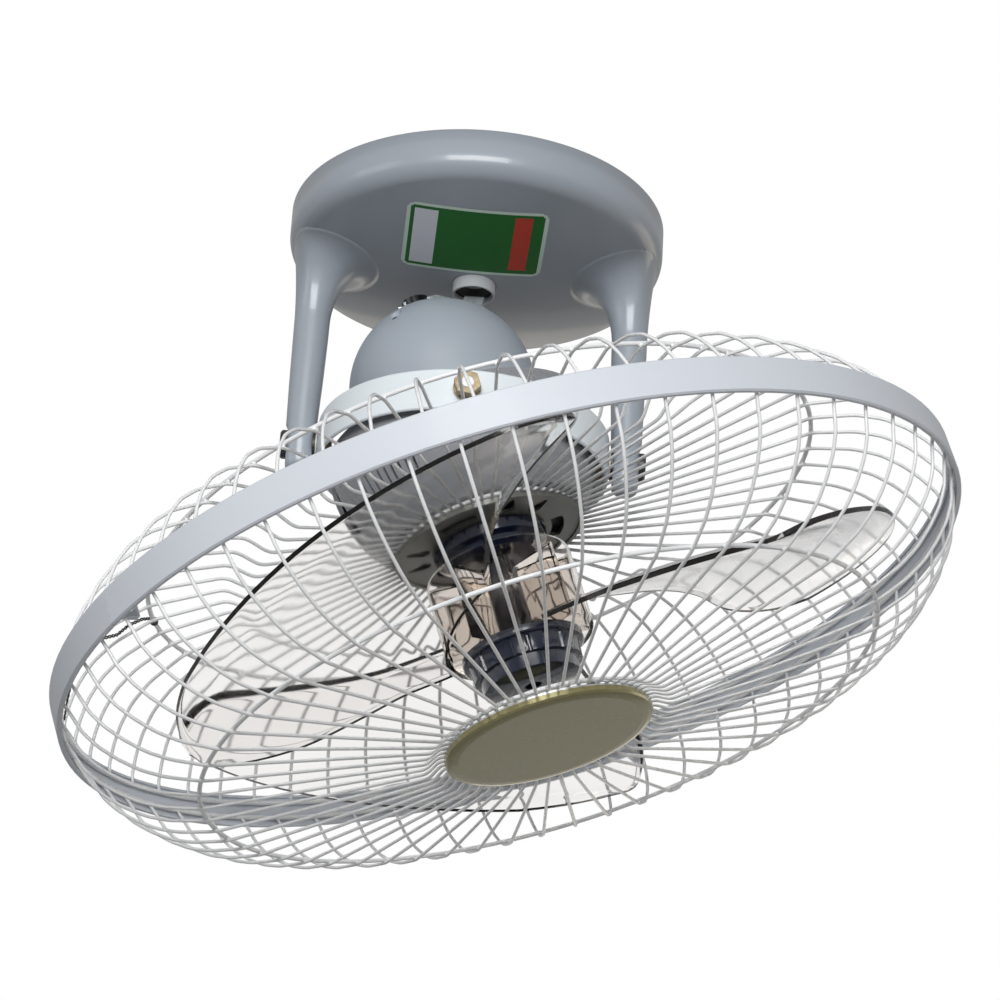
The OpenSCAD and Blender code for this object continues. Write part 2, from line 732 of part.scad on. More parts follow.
// Disc that locks the rear guard on the motor; its windows let air in
module lock_ring() {
    window_r = 38.5;
    plate_h = 1.8;
    color(champagne) difference() {
        union() {
            translate([0, 0, lock_z]) tube(lock_r, 14, plate_h);
            translate([0, 0, lock_z]) tube(lock_r, lock_r - 2, plate_h + 0.8);
        }
        for (i = [0 : 2]) rotate([0, 0, 170 + i * 120]) {
            translate([window_r - 3, 0, lock_z - 2]) teardrop_hole(3.4, 8);
            rotate([0, 0, 26]) translate([window_r - 3, 0, lock_z - 2]) teardrop_hole(3.4, 8);
            rotate([0, 0, 70]) translate([0, 0, lock_z - 2]) crescent_hole(window_r - 2, 34);
        }
    }
}

module bearing_cap() {
    top_z = lock_z + 14;
    color(navy) difference() {
        rotate_extrude() polygon([[shaft_r + 2, lock_z + 1.8 + seat], [29, lock_z + 1.8 + seat], [30, lock_z + 3],
            [29, lock_z + 8], [25, lock_z + 9.5], [24, top_z - 2], [21, top_z], [shaft_r + 2, top_z]]);
        translate([0, 0, lock_z]) cylinder(r = 12, h = 10);
        round_spread(24, 30.4) translate([0, 0, lock_z]) cylinder(r = 0.9, h = 12, $fn = 16);
    }
}

// ---------- guards ----------

// A closed sweep of a diamond section along stations [radius, z] in one meridian plane
module radial_wire(line, d) {
    n = len(line);
    step = [for (i = [0 : n - 1]) let (v = line[min(i + 1, n - 1)] - line[max(i - 1, 0)]) v / norm(v)];
    points = [for (i = [0 : n - 1], k = [0 : 3])
        let (across = [-step[i][1], step[i][0]], c = cos(k * 90), s = sin(k * 90))
            [line[i][0] + across[0] * c * d / 2, s * d / 2, line[i][1] + across[1] * c * d / 2]];
    sides = [for (i = [0 : n - 2], k = [0 : 3]) [i * 4 + k, i * 4 + (k + 1) % 4,
        (i + 1) * 4 + (k + 1) % 4, (i + 1) * 4 + k]];
    polyhedron(points, concat(sides, [[3, 2, 1, 0]], [[for (k = [0 : 3]) (n - 1) * 4 + k]]));
}

// A closed hoop of straight pieces, whose corners lie between the wires
module hoop(r, z, d, pieces, start, sides) {
    points = [for (i = [0 : pieces - 1], k = [0 : sides - 1])
        let (az = start + i * 360 / pieces, a = k * 360 / sides, out = r + d / 2 * cos(a))
            [out * cos(az), out * sin(az), z + d / 2 * sin(a)]];
    faces = [for (i = [0 : pieces - 1], k = [0 : sides - 1])
        let (next = (i + 1) % pieces, up = (k + 1) % sides)
            [i * sides + k, i * sides + up, next * sides + up, next * sides + k]];
    polyhedron(points, faces);
}

// A hoop of short rods with round ends
module rod_hoop(r, z, d, pieces, start) {
    for (i = [0 : pieces - 1]) hull() for (j = [0, 1])
        rotate([0, 0, start + (i + j) * 360 / pieces]) translate([r, 0, z]) sphere(r = d / 2, $fn = 4);
}

rim_r = band_r - band_t - hoop_d / 2 - 0.3;
wire_step = 360 / wires;

hoop_pieces = 40;
hoop_sink = 0.5;        // how far a wire sinks into the hoop that it is welded to
weld = wire_d / 2 + hoop_d / 2 - hoop_sink;
face_z = front_z - 6.5;
face_hoop_r = front_cap_r - 3;
collar_hoop_r = spigot_r + 0.4 + hoop_d / 2;
collar_hoop_z = lock_z - 2 * seat - wire_d / 2;
deck_z = band_z - 50.5;
shoulder_z = band_z + 58.5;

// The front guard's line, from the rim inside the band to the centre
function front_line() = [[rim_r, band_z + 5.5], [rim_r - 7, band_z + 23], [rim_r - 26, band_z + 45],
    [hoop_r, shoulder_z], [front_cap_r + 9, front_z - 2.5], [front_cap_r + 2, face_z], [face_hoop_r, face_z]];

// The rear guard's line. Away from the legs' side it has a step, which fades towards that side
function rear_line(step_in) = let (
    rim = [[rim_r, band_z - 4.5], [rim_r - 8, band_z - 22.5], [rim_r - 28, band_z - 41.5], [hoop_r, deck_z]],
    end = [collar_hoop_r, collar_hoop_z],
    at_136 = mix(deck_z, collar_hoop_z, 0.31),
    at_125 = mix(deck_z, collar_hoop_z, 0.4))
    step_in == 0 ? concat(rim, [end]) : concat(rim,
        [[136, mix(at_136, deck_z + 1, step_in)], [125, mix(at_125, deck_z + 10, step_in)], end]);

function smooth(t) = let (u = max(0, min(1, t))) u * u * (3 - 2 * u);

module front_guard() {
    color(white_paint) head_frame() {
        hoop(rim_r, band_z + 4.4, hoop_d, hoop_pieces, 0, 3);
        hoop(hoop_r, shoulder_z - weld, hoop_d, hoop_pieces, 0, 4);
        rod_hoop(face_hoop_r, face_z - weld, hoop_d, 24, 0);
        for (i = [0 : wires - 1]) rotate([0, 0, (i + 0.5) * wire_step]) radial_wire(front_line(), wire_d);
    }
}

module rear_guard() {
    color(white_paint) head_frame() {
        hoop(rim_r, band_z - 4.4, hoop_d, hoop_pieces, wire_step / 4, 3);
        hoop(hoop_r, deck_z - weld, hoop_d, hoop_pieces, wire_step / 4, 4);
        rod_hoop(collar_hoop_r, collar_hoop_z - weld, hoop_d, 24, wire_step / 4);
        for (i = [0 : wires - 1]) let (az = i * wire_step, away = min(az, 360 - az))
            rotate([0, 0, az]) radial_wire(rear_line(smooth((away - 38) / 17)), wire_d);
    }
}

clamp_az = 148.5;
lip = 2.4;
gap_half = 0.2;

// C-section strap round both rims, with inward ears at its joint
module guard_band() {
    z0 = band_z - band_h / 2;
    ear_w = 11;
    ear_l = 14;
    neck_w = 2 * (4.4 - hoop_d / 2 - 0.3);
    clip_l = ear_l - band_t - hoop_d - 1.2;
    color(band_paint) difference() {
        union() {
            rotate_extrude($fn = 180) polygon([[band_r - 0.8, z0], [band_r, z0 + 0.8], [band_r, z0 + band_h - 0.8],
                [band_r - 0.8, z0 + band_h], [band_r - lip, z0 + band_h], [band_r - lip, z0 + band_h - band_t],
                [band_r - band_t, z0 + band_h - band_t], [band_r - band_t, z0 + band_t],
                [band_r - lip, z0 + band_t], [band_r - lip, z0]]);
            rotate([0, 0, clamp_az]) for (side = [-1, 1])
                translate([band_r - ear_l - band_t, side * (gap_half + 0.8) - 0.8, band_z]) {
                    translate([0, 0, -ear_w / 2]) cube([clip_l, 1.6, ear_w]);
                    translate([0, 0, -neck_w / 2]) cube([ear_l + 0.2, 1.6, neck_w]);
                }
        }
        rotate([0, 0, clamp_az]) translate([band_r - 20, -gap_half, z0 - 1]) cube([30, 2 * gap_half, band_h + 2]);
        rotate([0, 0, clamp_az]) translate([band_r - 9, 0, band_z]) rotate([90, 0, 0])
            cylinder(r = 2.1, h = 20, center = true, $fn = 32);
    }
}

ear_out = gap_half + 1.6;

module band_screw() {
    color(zinc) rotate([0, 0, clamp_az]) translate([band_r - 9, -ear_out - seat, band_z]) rotate([90, 0, 0])
        pan_screw(1.9, 2 * ear_out + 7, 3.8, 2.6);
}

module band_nut() {
    color(zinc) rotate([0, 0, clamp_az]) translate([band_r - 9, ear_out + 3 + seat, band_z]) rotate([90, 0, 0])
        hex_nut(7, 3, 1.9 + seat / 2);
}

// Thin wire tie from the rear guard's hoop to the rims inside the band
module guard_tie() {
    tie_r = 0.5;
    tie_az = (30 + 0.5) * wire_step;
    off_middle = (tie_az - wire_step / 4) % (360 / hoop_pieces) - 180 / hoop_pieces;
    from = [hoop_r * cos(180 / hoop_pieces) / cos(off_middle), deck_z - weld];
    loop_r = hoop_d / 2 + tie_r + seat;
    to = [rim_r - hoop_d / 2 - 3 * tie_r - 1, band_z - 4.4];
    run = to - from;
    color(black) rotate([0, 0, tie_az]) translate([from[0], 0, from[1]]) {
        rotate([90, 0, 0]) rotate_extrude($fn = 40) translate([loop_r, 0]) circle(r = tie_r, $fn = 16);
        rotate([0, atan2(run[0], run[1]), 0]) translate([0, 0, loop_r])
            cylinder(r = tie_r, h = norm(run) - loop_r, $fn = 16);
    }
}

// Flat galvanised ring that holds the front guard's centre under the cap
module guard_centre_ring() {
    z0 = front_z - 6.5 + wire_d / 2 + 0.1;
    color(zinc) translate([0, 0, z0]) difference() {
        cylinder(r = front_cap_r - 1, h = 1.2);
        translate([0, 0, -1]) cylinder(r = 30, h = 4);
        round_spread(3, 40, 30) translate([0, 0, -1]) cylinder(r = 1.8, h = 4, $fn = 24);
    }
}

module front_cap() {
    back_z = front_z - 6.5 + wire_d / 2 + 1.3 + 0.1;
    sheet = 1.2;
    color(champagne) difference() {
        union() {
            rotate_extrude() polygon([[front_cap_r - sheet, back_z], [front_cap_r, back_z],
                [front_cap_r, front_z - 1.6], [front_cap_r - 0.8, front_z - 0.6], [front_cap_r - 3, front_z - 0.2],
                [front_cap_r - 6, front_z], [0, front_z], [0, front_z - sheet],
                [front_cap_r - 6, front_z - sheet], [front_cap_r - sheet, front_z - sheet - 0.6]]);
            round_spread(3, 40, 30) translate([0, 0, back_z]) cylinder(r = 3, h = front_z - sheet / 2 - back_z);
        }
        round_spread(3, 40, 30) translate([0, 0, back_z - 1]) cylinder(r = 1.25, h = 2.6, $fn = 24);
    }
}

module front_cap_screws() {
    z0 = front_z - 6.5 + wire_d / 2 + 0.1 - seat;
    color(zinc) round_spread(3, 40, 30) translate([0, 0, z0]) rotate([180, 0, 0]) pan_screw(1.2, 2.6, 2.8, 1.8);
}

// ---------- rotor and blade ----------

hub_z0 = 66;
hub_z1 = 111;
shaft_end = 128;

module motor_shaft() {
    color(zinc) difference() {
        translate([0, 0, rear_z + motor_wall - 0.5]) cylinder(r = shaft_r, h = shaft_end - rear_z - motor_wall + 0.5);
        translate([0, 0, hub_z0 + 5]) rotate([90, 0, 0]) cylinder(r = 1.55, h = 20, center = true, $fn = 24);
    }
}

module rotor_core() {
    r = stator_in - air_gap;
    color([0.50, 0.51, 0.53]) translate([0, 0, stator_z0 + 4]) difference() {
        union() {
            translate([0, 0, 3]) cylinder(r = r, h = stator_z1 - stator_z0 - 14);
            tube(r - 1, r - 7, stator_z1 - stator_z0 - 8);
        }
        translate([0, 0, -1]) cylinder(r = shaft_r + seat / 2, h = 60);
        round_spread(6, 15) translate([0, 0, -1]) cylinder(r = 4, h = 60, $fn = 24);
    }
}

// One row of the vane at radius r: rear edge angle and z, front edge angle and z
vane_rows = [
    [35, -2, 90, 104, 108],
    [60, -8, 87, 80, 113],
    [86, -14, 81, 62, 117],
    [118, -25, 76, 49, 121],
    [150, -33, 72, 43.5, 124.5],
    [180, -37.5, 71.5, 41, 126],
    [193, -34, 76.5, 36, 125.5],
    [197, -27, 83, 28, 123]];
vane_cols = 8;

module vane() {
    rows = len(vane_rows);
    last = vane_rows[rows - 1][0];
    grow = blade_r / last;
    function vane_point(row, t) = let (v = vane_rows[row], az = mix(v[1], v[3], t), r = v[0] > hub_r ? v[0] * grow : hub_r - 1.2,
        camber = 5 * sin(180 * t) * sin(180 * row / (rows - 1) * 0.8))
        [r * cos(az), r * sin(az), mix(v[2], v[4], t) - camber];
    grid = [for (i = [0 : rows - 1], j = [0 : vane_cols - 1]) vane_point(i, j / (vane_cols - 1))];
    count = len(grid);
    points = concat([for (p = grid) p - [0, 0, vane_t / 2]], [for (p = grid) p + [0, 0, vane_t / 2]]);
    function id(i, j) = i * vane_cols + j;
    lower = [for (i = [0 : rows - 2], j = [0 : vane_cols - 2], h = [0, 1])
        h == 0 ? [id(i, j), id(i + 1, j), id(i + 1, j + 1)] : [id(i, j), id(i + 1, j + 1), id(i, j + 1)]];
    upper = [for (f = lower) [f[2] + count, f[1] + count, f[0] + count]];
    border = concat([for (j = [0 : vane_cols - 2]) [id(0, j), id(0, j + 1)]],
        [for (i = [0 : rows - 2]) [id(i, vane_cols - 1), id(i + 1, vane_cols - 1)]],
        [for (j = [vane_cols - 1 : -1 : 1]) [id(rows - 1, j), id(rows - 1, j - 1)]],
        [for (i = [rows - 1 : -1 : 1]) [id(i, 0), id(i - 1, 0)]]);
    walls = [for (e = border, h = [0, 1])
        h == 0 ? [e[0], e[1], e[1] + count] : [e[0], e[1] + count, e[0] + count]];
    polyhedron(points, concat(lower, upper, walls));
}

// One moulding: hub, inner sleeve with ribs, and the vanes
module blade() {
    sleeve_r = 10;
    color(smoke) head_frame() {
        for (i = [0 : vanes - 1]) rotate([0, 0, i * 360 / vanes]) vane();
        translate([0, 0, hub_z0]) difference() {
            union() {
                tube(hub_r, hub_r - 2.5, hub_z1 - hub_z0, $fn = 36);
                cylinder(r = sleeve_r, h = hub_z1 - hub_z0, $fn = 20);
                translate([0, 0, hub_z1 - hub_z0 - 2.5]) cylinder(r = hub_r - 1, h = 2.5, $fn = 36);
                for (i = [0 : 7]) rotate([0, 0, i * 45]) hull() for (x = [sleeve_r - 1, hub_r - 2])
                    translate([x, -1, 4]) cube([0.5, 2, hub_z1 - hub_z0 - 5]);
            }
            translate([0, 0, -1]) cylinder(r = shaft_r + 0.1, h = 60, $fn = 20);
            translate([0, 0, 5]) rotate([90, 0, 0]) cylinder(r = 1.7, h = 2 * sleeve_r + 2, center = true, $fn = 12);
        }
    }
}

module blade_drive_pin() {
    color(zinc) translate([0, 0, hub_z0 + 5]) rotate([90, 0, 0]) cylinder(r = 1.5, h = 18, center = true, $fn = 24);
}

module spinner_nut() {
    z0 = hub_z1 + seat;
    color(navy) difference() {
        rotate_extrude() polygon([[0, z0], [28.5, z0], [28.5, z0 + 4], [26.5, z0 + 5.5], [22, z0 + 6.5],
            [20.5, z0 + 15], [18.5, z0 + 18.5], [14, z0 + 20], [0, z0 + 20]]);
        translate([0, 0, z0 - 1]) cylinder(r = shaft_r + seat / 2, h = shaft_end - z0 + 1.2);
        round_spread(20, 21.6) translate([0, 0, z0 + 6.5]) cylinder(r = 1, h = 20, $fn = 16);
    }
}

// ---------- nodes ----------

ceiling_plate();
canopy();
canopy_screws();
collar_bush();
crank_socket();
terminal_block();
capacitor();
pivot_bolts();
pivot_caps();
pivot_washers();
pivot_nuts();
gimbal_ring();
ring_bushes();
head_frame() motor_rear_housing();
head_frame() motor_front_housing();
head_frame() stator_core();
head_frame() stator_windings();
head_frame() rear_bearing();
head_frame() front_bearing();
head_frame() housing_screws();
head_frame() cross_pivot_studs();
head_frame() cross_pivot_nuts();
head_frame() swing_motor();
head_frame() swing_motor_bracket();
head_frame() swing_motor_screws();
head_frame() dome_cover();
head_frame() dome_screws();
head_frame() dome_grommet();
head_frame() lock_ring();
head_frame() bearing_cap();
rear_guard();
front_guard();
head_frame() guard_band();
head_frame() band_screw();
head_frame() band_nut();
head_frame() guard_tie();
head_frame() guard_centre_ring();
head_frame() front_cap();
head_frame() front_cap_screws();
head_frame() crank_arm();
head_frame() swing_shaft();
head_frame() crank_screw();
head_frame() motor_shaft();
head_frame() rotor_core();
blade();
head_frame() blade_drive_pin();
head_frame() spinner_nut();
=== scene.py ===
import json
import math
import bpy
from mathutils import Matrix, Vector

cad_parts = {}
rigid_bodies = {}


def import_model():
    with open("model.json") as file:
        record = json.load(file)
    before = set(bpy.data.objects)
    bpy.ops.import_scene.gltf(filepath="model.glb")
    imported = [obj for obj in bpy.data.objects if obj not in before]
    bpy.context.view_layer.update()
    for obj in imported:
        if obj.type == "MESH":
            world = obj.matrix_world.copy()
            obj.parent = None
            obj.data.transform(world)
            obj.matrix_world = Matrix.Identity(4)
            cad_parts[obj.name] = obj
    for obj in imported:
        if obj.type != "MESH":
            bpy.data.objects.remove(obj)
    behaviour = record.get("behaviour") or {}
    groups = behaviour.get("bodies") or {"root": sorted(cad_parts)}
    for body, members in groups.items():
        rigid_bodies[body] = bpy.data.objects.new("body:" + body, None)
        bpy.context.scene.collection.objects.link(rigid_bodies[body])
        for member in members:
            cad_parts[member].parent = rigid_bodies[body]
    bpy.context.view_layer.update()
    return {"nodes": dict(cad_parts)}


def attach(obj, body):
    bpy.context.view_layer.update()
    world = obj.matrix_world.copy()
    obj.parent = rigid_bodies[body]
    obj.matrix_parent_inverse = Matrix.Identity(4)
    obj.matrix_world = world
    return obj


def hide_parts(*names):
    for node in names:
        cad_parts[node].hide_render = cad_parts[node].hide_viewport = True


# The imported fan is loaded as the fixed frame, and its parts are kept.
for leftover in list(bpy.data.objects):
    bpy.data.objects.remove(leftover)
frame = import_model()
scene = bpy.context.scene
MM = 0.001

# The camera stands below and in front of the fan and looks up at it, as
# someone in the room does, with the picture turned a little to one side.
photo_px = 1000
focal_px = 3484.35
centre_px = (499.18, 513.60)
look_at = Vector((20.557, 0.0, -135.8 - 31.288)) * MM
distance = 1781.05 * MM
azimuth, elevation, roll = -0.01271, -0.44641, 0.06049

back = Vector((
    math.sin(azimuth) * math.cos(elevation),
    -math.cos(azimuth) * math.cos(elevation),
    math.sin(elevation),
))
level = (-back).cross(Vector((0, 0, 1))).normalized()
upright = level.cross(-back)
across = math.cos(roll) * level + math.sin(roll) * upright
above = -math.sin(roll) * level + math.cos(roll) * upright

lens = bpy.data.cameras.new("room_camera")
lens.sensor_width = 36
lens.lens = focal_px / photo_px * 36
lens.shift_x = (photo_px / 2 - centre_px[0]) / photo_px
lens.shift_y = (centre_px[1] - photo_px / 2) / photo_px
lens.clip_start = 0.05
lens.clip_end = 60
camera = bpy.data.objects.new("room_camera", lens)
scene.collection.objects.link(camera)
camera.matrix_world = Matrix.Translation(look_at + back * distance) @ Matrix(
    (across, above, back)
).transposed().to_4x4()
scene.camera = camera


# Canopy: a die-cast bowl with two legs in one piece, screwed to the ceiling
# plate. Its satin grey stove enamel has a faint orange peel, dust and marks.
def new_group(name, inputs, outputs):
    """An empty shader group with named sockets, and its two end nodes."""
    group = bpy.data.node_groups.new(name, "ShaderNodeTree")
    for label, kind, value in inputs:
        socket = group.interface.new_socket(
            label, in_out="INPUT", socket_type="NodeSocket" + kind
        )
        socket.default_value = value
    for label, kind in outputs:
        group.interface.new_socket(
            label, in_out="OUTPUT", socket_type="NodeSocket" + kind
        )
    return group, group.nodes.new("NodeGroupInput"), group.nodes.new("NodeGroupOutput")


def wire_up(tree):
    """Three short tools that add nodes to one tree and join them."""

    def node(kind, **values):
        made = tree.nodes.new("ShaderNode" + kind)
        for key, value in values.items():
            setattr(made, key, value)
        return made

    def join(source, target):
        tree.links.new(source, target)

    def sum_of(operation, first, second, third=None):
        made = node("Math", operation=operation)
        for slot_id, value in enumerate((first, second, third)):
            if value is None:
                continue
            if isinstance(value, (int, float)):
                made.inputs[slot_id].default_value = value
            else:
                join(value, made.inputs[slot_id])
        return made.outputs[0]

    return node, join, sum_of


def noise_at(node, join, place, scale, detail=3.0, rough=0.55):
    """Noise laid on the piece in metres, so that its grain has a real size."""
    made = node("TexNoise")
    join(place, made.inputs["Vector"])
    if isinstance(scale, (int, float)):
        made.inputs["Scale"].default_value = scale
    else:
        join(scale, made.inputs["Scale"])
    made.inputs["Detail"].default_value = detail
    made.inputs["Roughness"].default_value = rough
    return made.outputs["Fac"]


enamel_skin, skin_in, skin_out = new_group(
    "enamel_skin",
    [
        ("Colour", "Color", (0.5, 0.5, 0.5, 1)),
        ("Worn Colour", "Color", (0.4, 0.4, 0.4, 1)),
        ("Marks", "Float", 0.3),
        ("Roughness", "Float", 0.35),
        ("Roughness Spread", "Float", 0.12),
        ("Grain Size", "Float", 900.0),
    ],
    [("Colour", "Color"), ("Roughness", "Float"), ("Height", "Float")],
)
node, join, sum_of = wire_up(enamel_skin)
place = node("TexCoord").outputs["Object"]
broad = noise_at(node, join, place, 28.0, 4.0)
smears = noise_at(node, join, place, 160.0, 5.0, 0.7)
peel = noise_at(node, join, place, skin_in.outputs["Grain Size"], 2.0)
specks = noise_at(node, join, place, 2600.0, 1.0)
cloud = sum_of("MULTIPLY", sum_of("SUBTRACT", broad, 0.42), skin_in.outputs["Marks"])
dust = sum_of("GREATER_THAN", specks, 0.74)
amount = sum_of("ADD", cloud, sum_of("MULTIPLY", dust, 0.25))
tinted = node("MixRGB")
tinted.use_clamp = True
join(amount, tinted.inputs["Fac"])
join(skin_in.outputs["Colour"], tinted.inputs["Color1"])
join(skin_in.outputs["Worn Colour"], tinted.inputs["Color2"])
join(tinted.outputs["Color"], skin_out.inputs["Colour"])
spread = sum_of(
    "MULTIPLY", sum_of("SUBTRACT", smears, 0.5), skin_in.outputs["Roughness Spread"]
)
join(sum_of("ADD", skin_in.outputs["Roughness"], spread), skin_out.inputs["Roughness"])
join(
    sum_of("ADD", peel, sum_of("MULTIPLY", dust, 0.35)),
    skin_out.inputs["Height"],
)


def new_material(name):
    """A material with its Principled shader, and the tools to add nodes."""
    material = bpy.data.materials.new(name)
    material.use_nodes = True
    shader = material.node_tree.nodes["Principled BSDF"]
    return material, shader, wire_up(material.node_tree)


def bump_onto(shader, tools, height, strength, distance_mm):
    """Feeds a height in 0 to 1 to the shader's normal."""
    node, join, _ = tools
    bump = node("Bump")
    bump.inputs["Strength"].default_value = strength
    bump.inputs["Distance"].default_value = distance_mm * MM
    join(height, bump.inputs["Height"])
    join(bump.outputs["Normal"], shader.inputs["Normal"])


def enamel(name, colour, worn, marks, rough, spread=0.12, grain=900.0,
           peel_mm=0.02, coat=0.0, metallic=0.0):
    """Paint or moulded plastic with its grain, smears and fine dust."""
    material, shader, tools = new_material(name)
    node, join, _ = tools
    skin = node("Group", node_tree=enamel_skin)
    skin.inputs["Colour"].default_value = (*colour, 1)
    skin.inputs["Worn Colour"].default_value = (*worn, 1)
    skin.inputs["Marks"].default_value = marks
    skin.inputs["Roughness"].default_value = rough
    skin.inputs["Roughness Spread"].default_value = spread
    skin.inputs["Grain Size"].default_value = grain
    join(skin.outputs["Colour"], shader.inputs["Base Color"])
    join(skin.outputs["Roughness"], shader.inputs["Roughness"])
    bump_onto(shader, tools, skin.outputs["Height"], 0.35, peel_mm)
    shader.inputs["Metallic"].default_value = metallic
    shader.inputs["Coat Weight"].default_value = coat
    shader.inputs["Coat Roughness"].default_value = 0.08
    return material


def finish_nodes(material, *names):
    """Gives carried-over solids a better finish."""
    for name in names:
        mesh = frame["nodes"][name].data
        mesh.materials.clear()
        mesh.materials.append(material)


canopy_enamel = enamel(
    "canopy_enamel", (0.365, 0.405, 0.455), (0.31, 0.34, 0.375),
    marks=0.5, rough=0.32, spread=0.14, grain=1100.0, peel_mm=0.014, coat=0.42,
)


def new_piece(name, points, faces, material):
    """A smooth mesh drawn in millimetres, put in the scene in metres."""
    mesh = bpy.data.meshes.new(name)
    mesh.from_pydata([Vector(p) * MM for p in points], [], faces)
    mesh.materials.append(material)
    mesh.polygons.foreach_set("use_smooth", [True] * len(mesh.polygons))
    mesh.validate()
    piece = bpy.data.objects.new(name, mesh)
    scene.collection.objects.link(piece)
    return piece


def spin(r, z, degrees):
    """A point at radius r, height z and a turn about the piece's own axis."""
    turn = math.radians(degrees)
    return Vector((r * math.cos(turn), r * math.sin(turn), z))


def add_lathe(points, faces, outline, steps=96):
    """Turns a closed (r, z) outline about the axis."""
    first = len(points)
    count = len(outline)
    for i in range(steps):
        points.extend(spin(r, z, 360 * i / steps) for r, z in outline)
    for i in range(steps):
        here, there = first + i * count, first + (i + 1) % steps * count
        for k in range(count):
            up = (k + 1) % count
            faces.append((here + k, there + k, there + up, here + up))


# the bowl's section runs down round the edge, in along the swelling underside
# to the collar's hole, and back up inside the wall
rim_r, edge_r, wall = 98.7, 11.0, 2.6
edge_z, floor_z, sag, hole_r = -14.2, -24.99, 9.8, 11.25
dish_r, inner_dish_r, inner_floor_z = 89.84, 89.38, -22.43
edge_sweep, inner_edge_sweep = math.radians(78.77), math.radians(78.47)
edge_steps, inner_edge_steps, dish_steps = 18, 12, 48
bowl_line = [(rim_r, 0.0)]
for k in range(edge_steps + 1):
    down = edge_sweep * k / edge_steps
    bowl_line.append((rim_r - edge_r * (1 - math.cos(down)), edge_z - edge_r * math.sin(down)))
for k in range(1, dish_steps + 1):
    r = dish_r + (hole_r - dish_r) * k / dish_steps
    bowl_line.append((r, floor_z - sag * (1 - (r / dish_r) ** 2)))
for k in range(dish_steps + 1):
    r = hole_r + (inner_dish_r - hole_r) * k / dish_steps
    bowl_line.append((r, inner_floor_z - sag * (1 - (r / inner_dish_r) ** 2)))
inner_edge_r = edge_r - wall
for k in range(inner_edge_steps, -1, -1):
    down = inner_edge_sweep * k / inner_edge_steps
    bowl_line.append((
        rim_r - edge_r + inner_edge_r * math.cos(down), edge_z - inner_edge_r * math.sin(down),
    ))
bowl_line.append((rim_r - wall, 0.0))
points, bowl_faces = [], []
add_lathe(points, bowl_faces, bowl_line, 192)
# the supply wires' inlet at the rear, with a small lip moulded round it
inlet, inlet_r = Vector((0, 61.2, 0)), 5.8
faces = []
for face in bowl_faces:
    middle = sum((points[k] for k in face), Vector()) / len(face)
    if (middle.xy - inlet.xy).length > inlet_r:
        faces.append(face)
lip, lip_faces = [], []
lip_line = [(5.0, -31.2), (7.4, -31.0), (7.8, -29.6), (7.8, -25.6), (5.0, -25.4)]
add_lathe(lip, lip_faces, lip_line, 40)
faces.extend(tuple(len(points) + k for k in face) for face in lip_faces)
points.extend(spot + inlet for spot in lip)


def skin_z(x, y):
    """Height of the canopy's outer skin at a point of its plan."""
    r = math.hypot(x, y)
    if r < dish_r:
        return floor_z - sag * (1 - (r / dish_r) ** 2)
    return edge_z - math.sqrt(max(0.0, edge_r ** 2 - (r - rim_r + edge_r) ** 2))


# each leg is round, flat on both sides at its pivot, and flares into the bowl:
# wide on the inner side, and flush with the rounded edge on the outer side
neck_x, neck_r, neck_z, neck_rise = 83.3, 9.3, -64.0, 14.0
flat_in, flat_out, flat_top = 77.3, 90.7, -125.0
widest, flush_r, merge_power, end_hold = 33.0, 96.3, 6, 0.7
flare_steps, leg_sides, sunk_by, lid_z = 18, 72, 1.2, -25.2


def leg_rings():
    """Rings of one leg, from its foot up to where it runs into the canopy."""
    rings = []
    levels = [
        (84, 2.0, -152.3), (84, 4.6, -151.8), (84, 6.4, -150.3), (84, 7.6, -148.2),
        (84, 8.0, -146.3), (84, 8.0, -126.6), (84, 8.0, -124.6), (83.9, 8.3, -114),
        (83.7, 8.7, -101), (83.5, 9.0, -86), (83.35, 9.2, -74), (neck_x, neck_r, neck_z),
    ]
    for x, r, z in levels:
        ring = [
            spin(r, z, 360 * k / leg_sides) + Vector((x, 0, 0)) for k in range(leg_sides)
        ]
        if z < flat_top:
            for spot in ring:
                spot.x = max(flat_in, min(flat_out, spot.x))
        rings.append(ring)
    ends = []
    for k in range(leg_sides):
        turn = 2 * math.pi * k / leg_sides
        way = Vector((math.cos(turn), math.sin(turn), 0))
        to_edge = math.sqrt(flush_r ** 2 - (neck_x * way.y) ** 2) - neck_x * way.x
        out = (to_edge ** -merge_power + widest ** -merge_power) ** (-1 / merge_power)
        near, far = (Vector((neck_x, 0, 0)) + way * (out + d) for d in (-0.4, 0.0))
        near.z, far.z = skin_z(*near.xy), skin_z(*far.xy)
        run = (far - near).normalized()
        start = Vector((neck_x, 0, neck_z)) + way * neck_r
        ends.append((
            start, start + Vector((0, 0, neck_rise)),
            far - run * end_hold * (out - neck_r), far,
        ))
    for step in range(1, flare_steps + 1):
        t = step / flare_steps
        rings.append([
            (1 - t) ** 3 * a + 3 * t * (1 - t) ** 2 * b + 3 * t * t * (1 - t) * c + t ** 3 * d
            for a, b, c, d in ends
        ])
    rings.append([end[3] + Vector((0, 0, sunk_by)) for end in ends])
    return rings


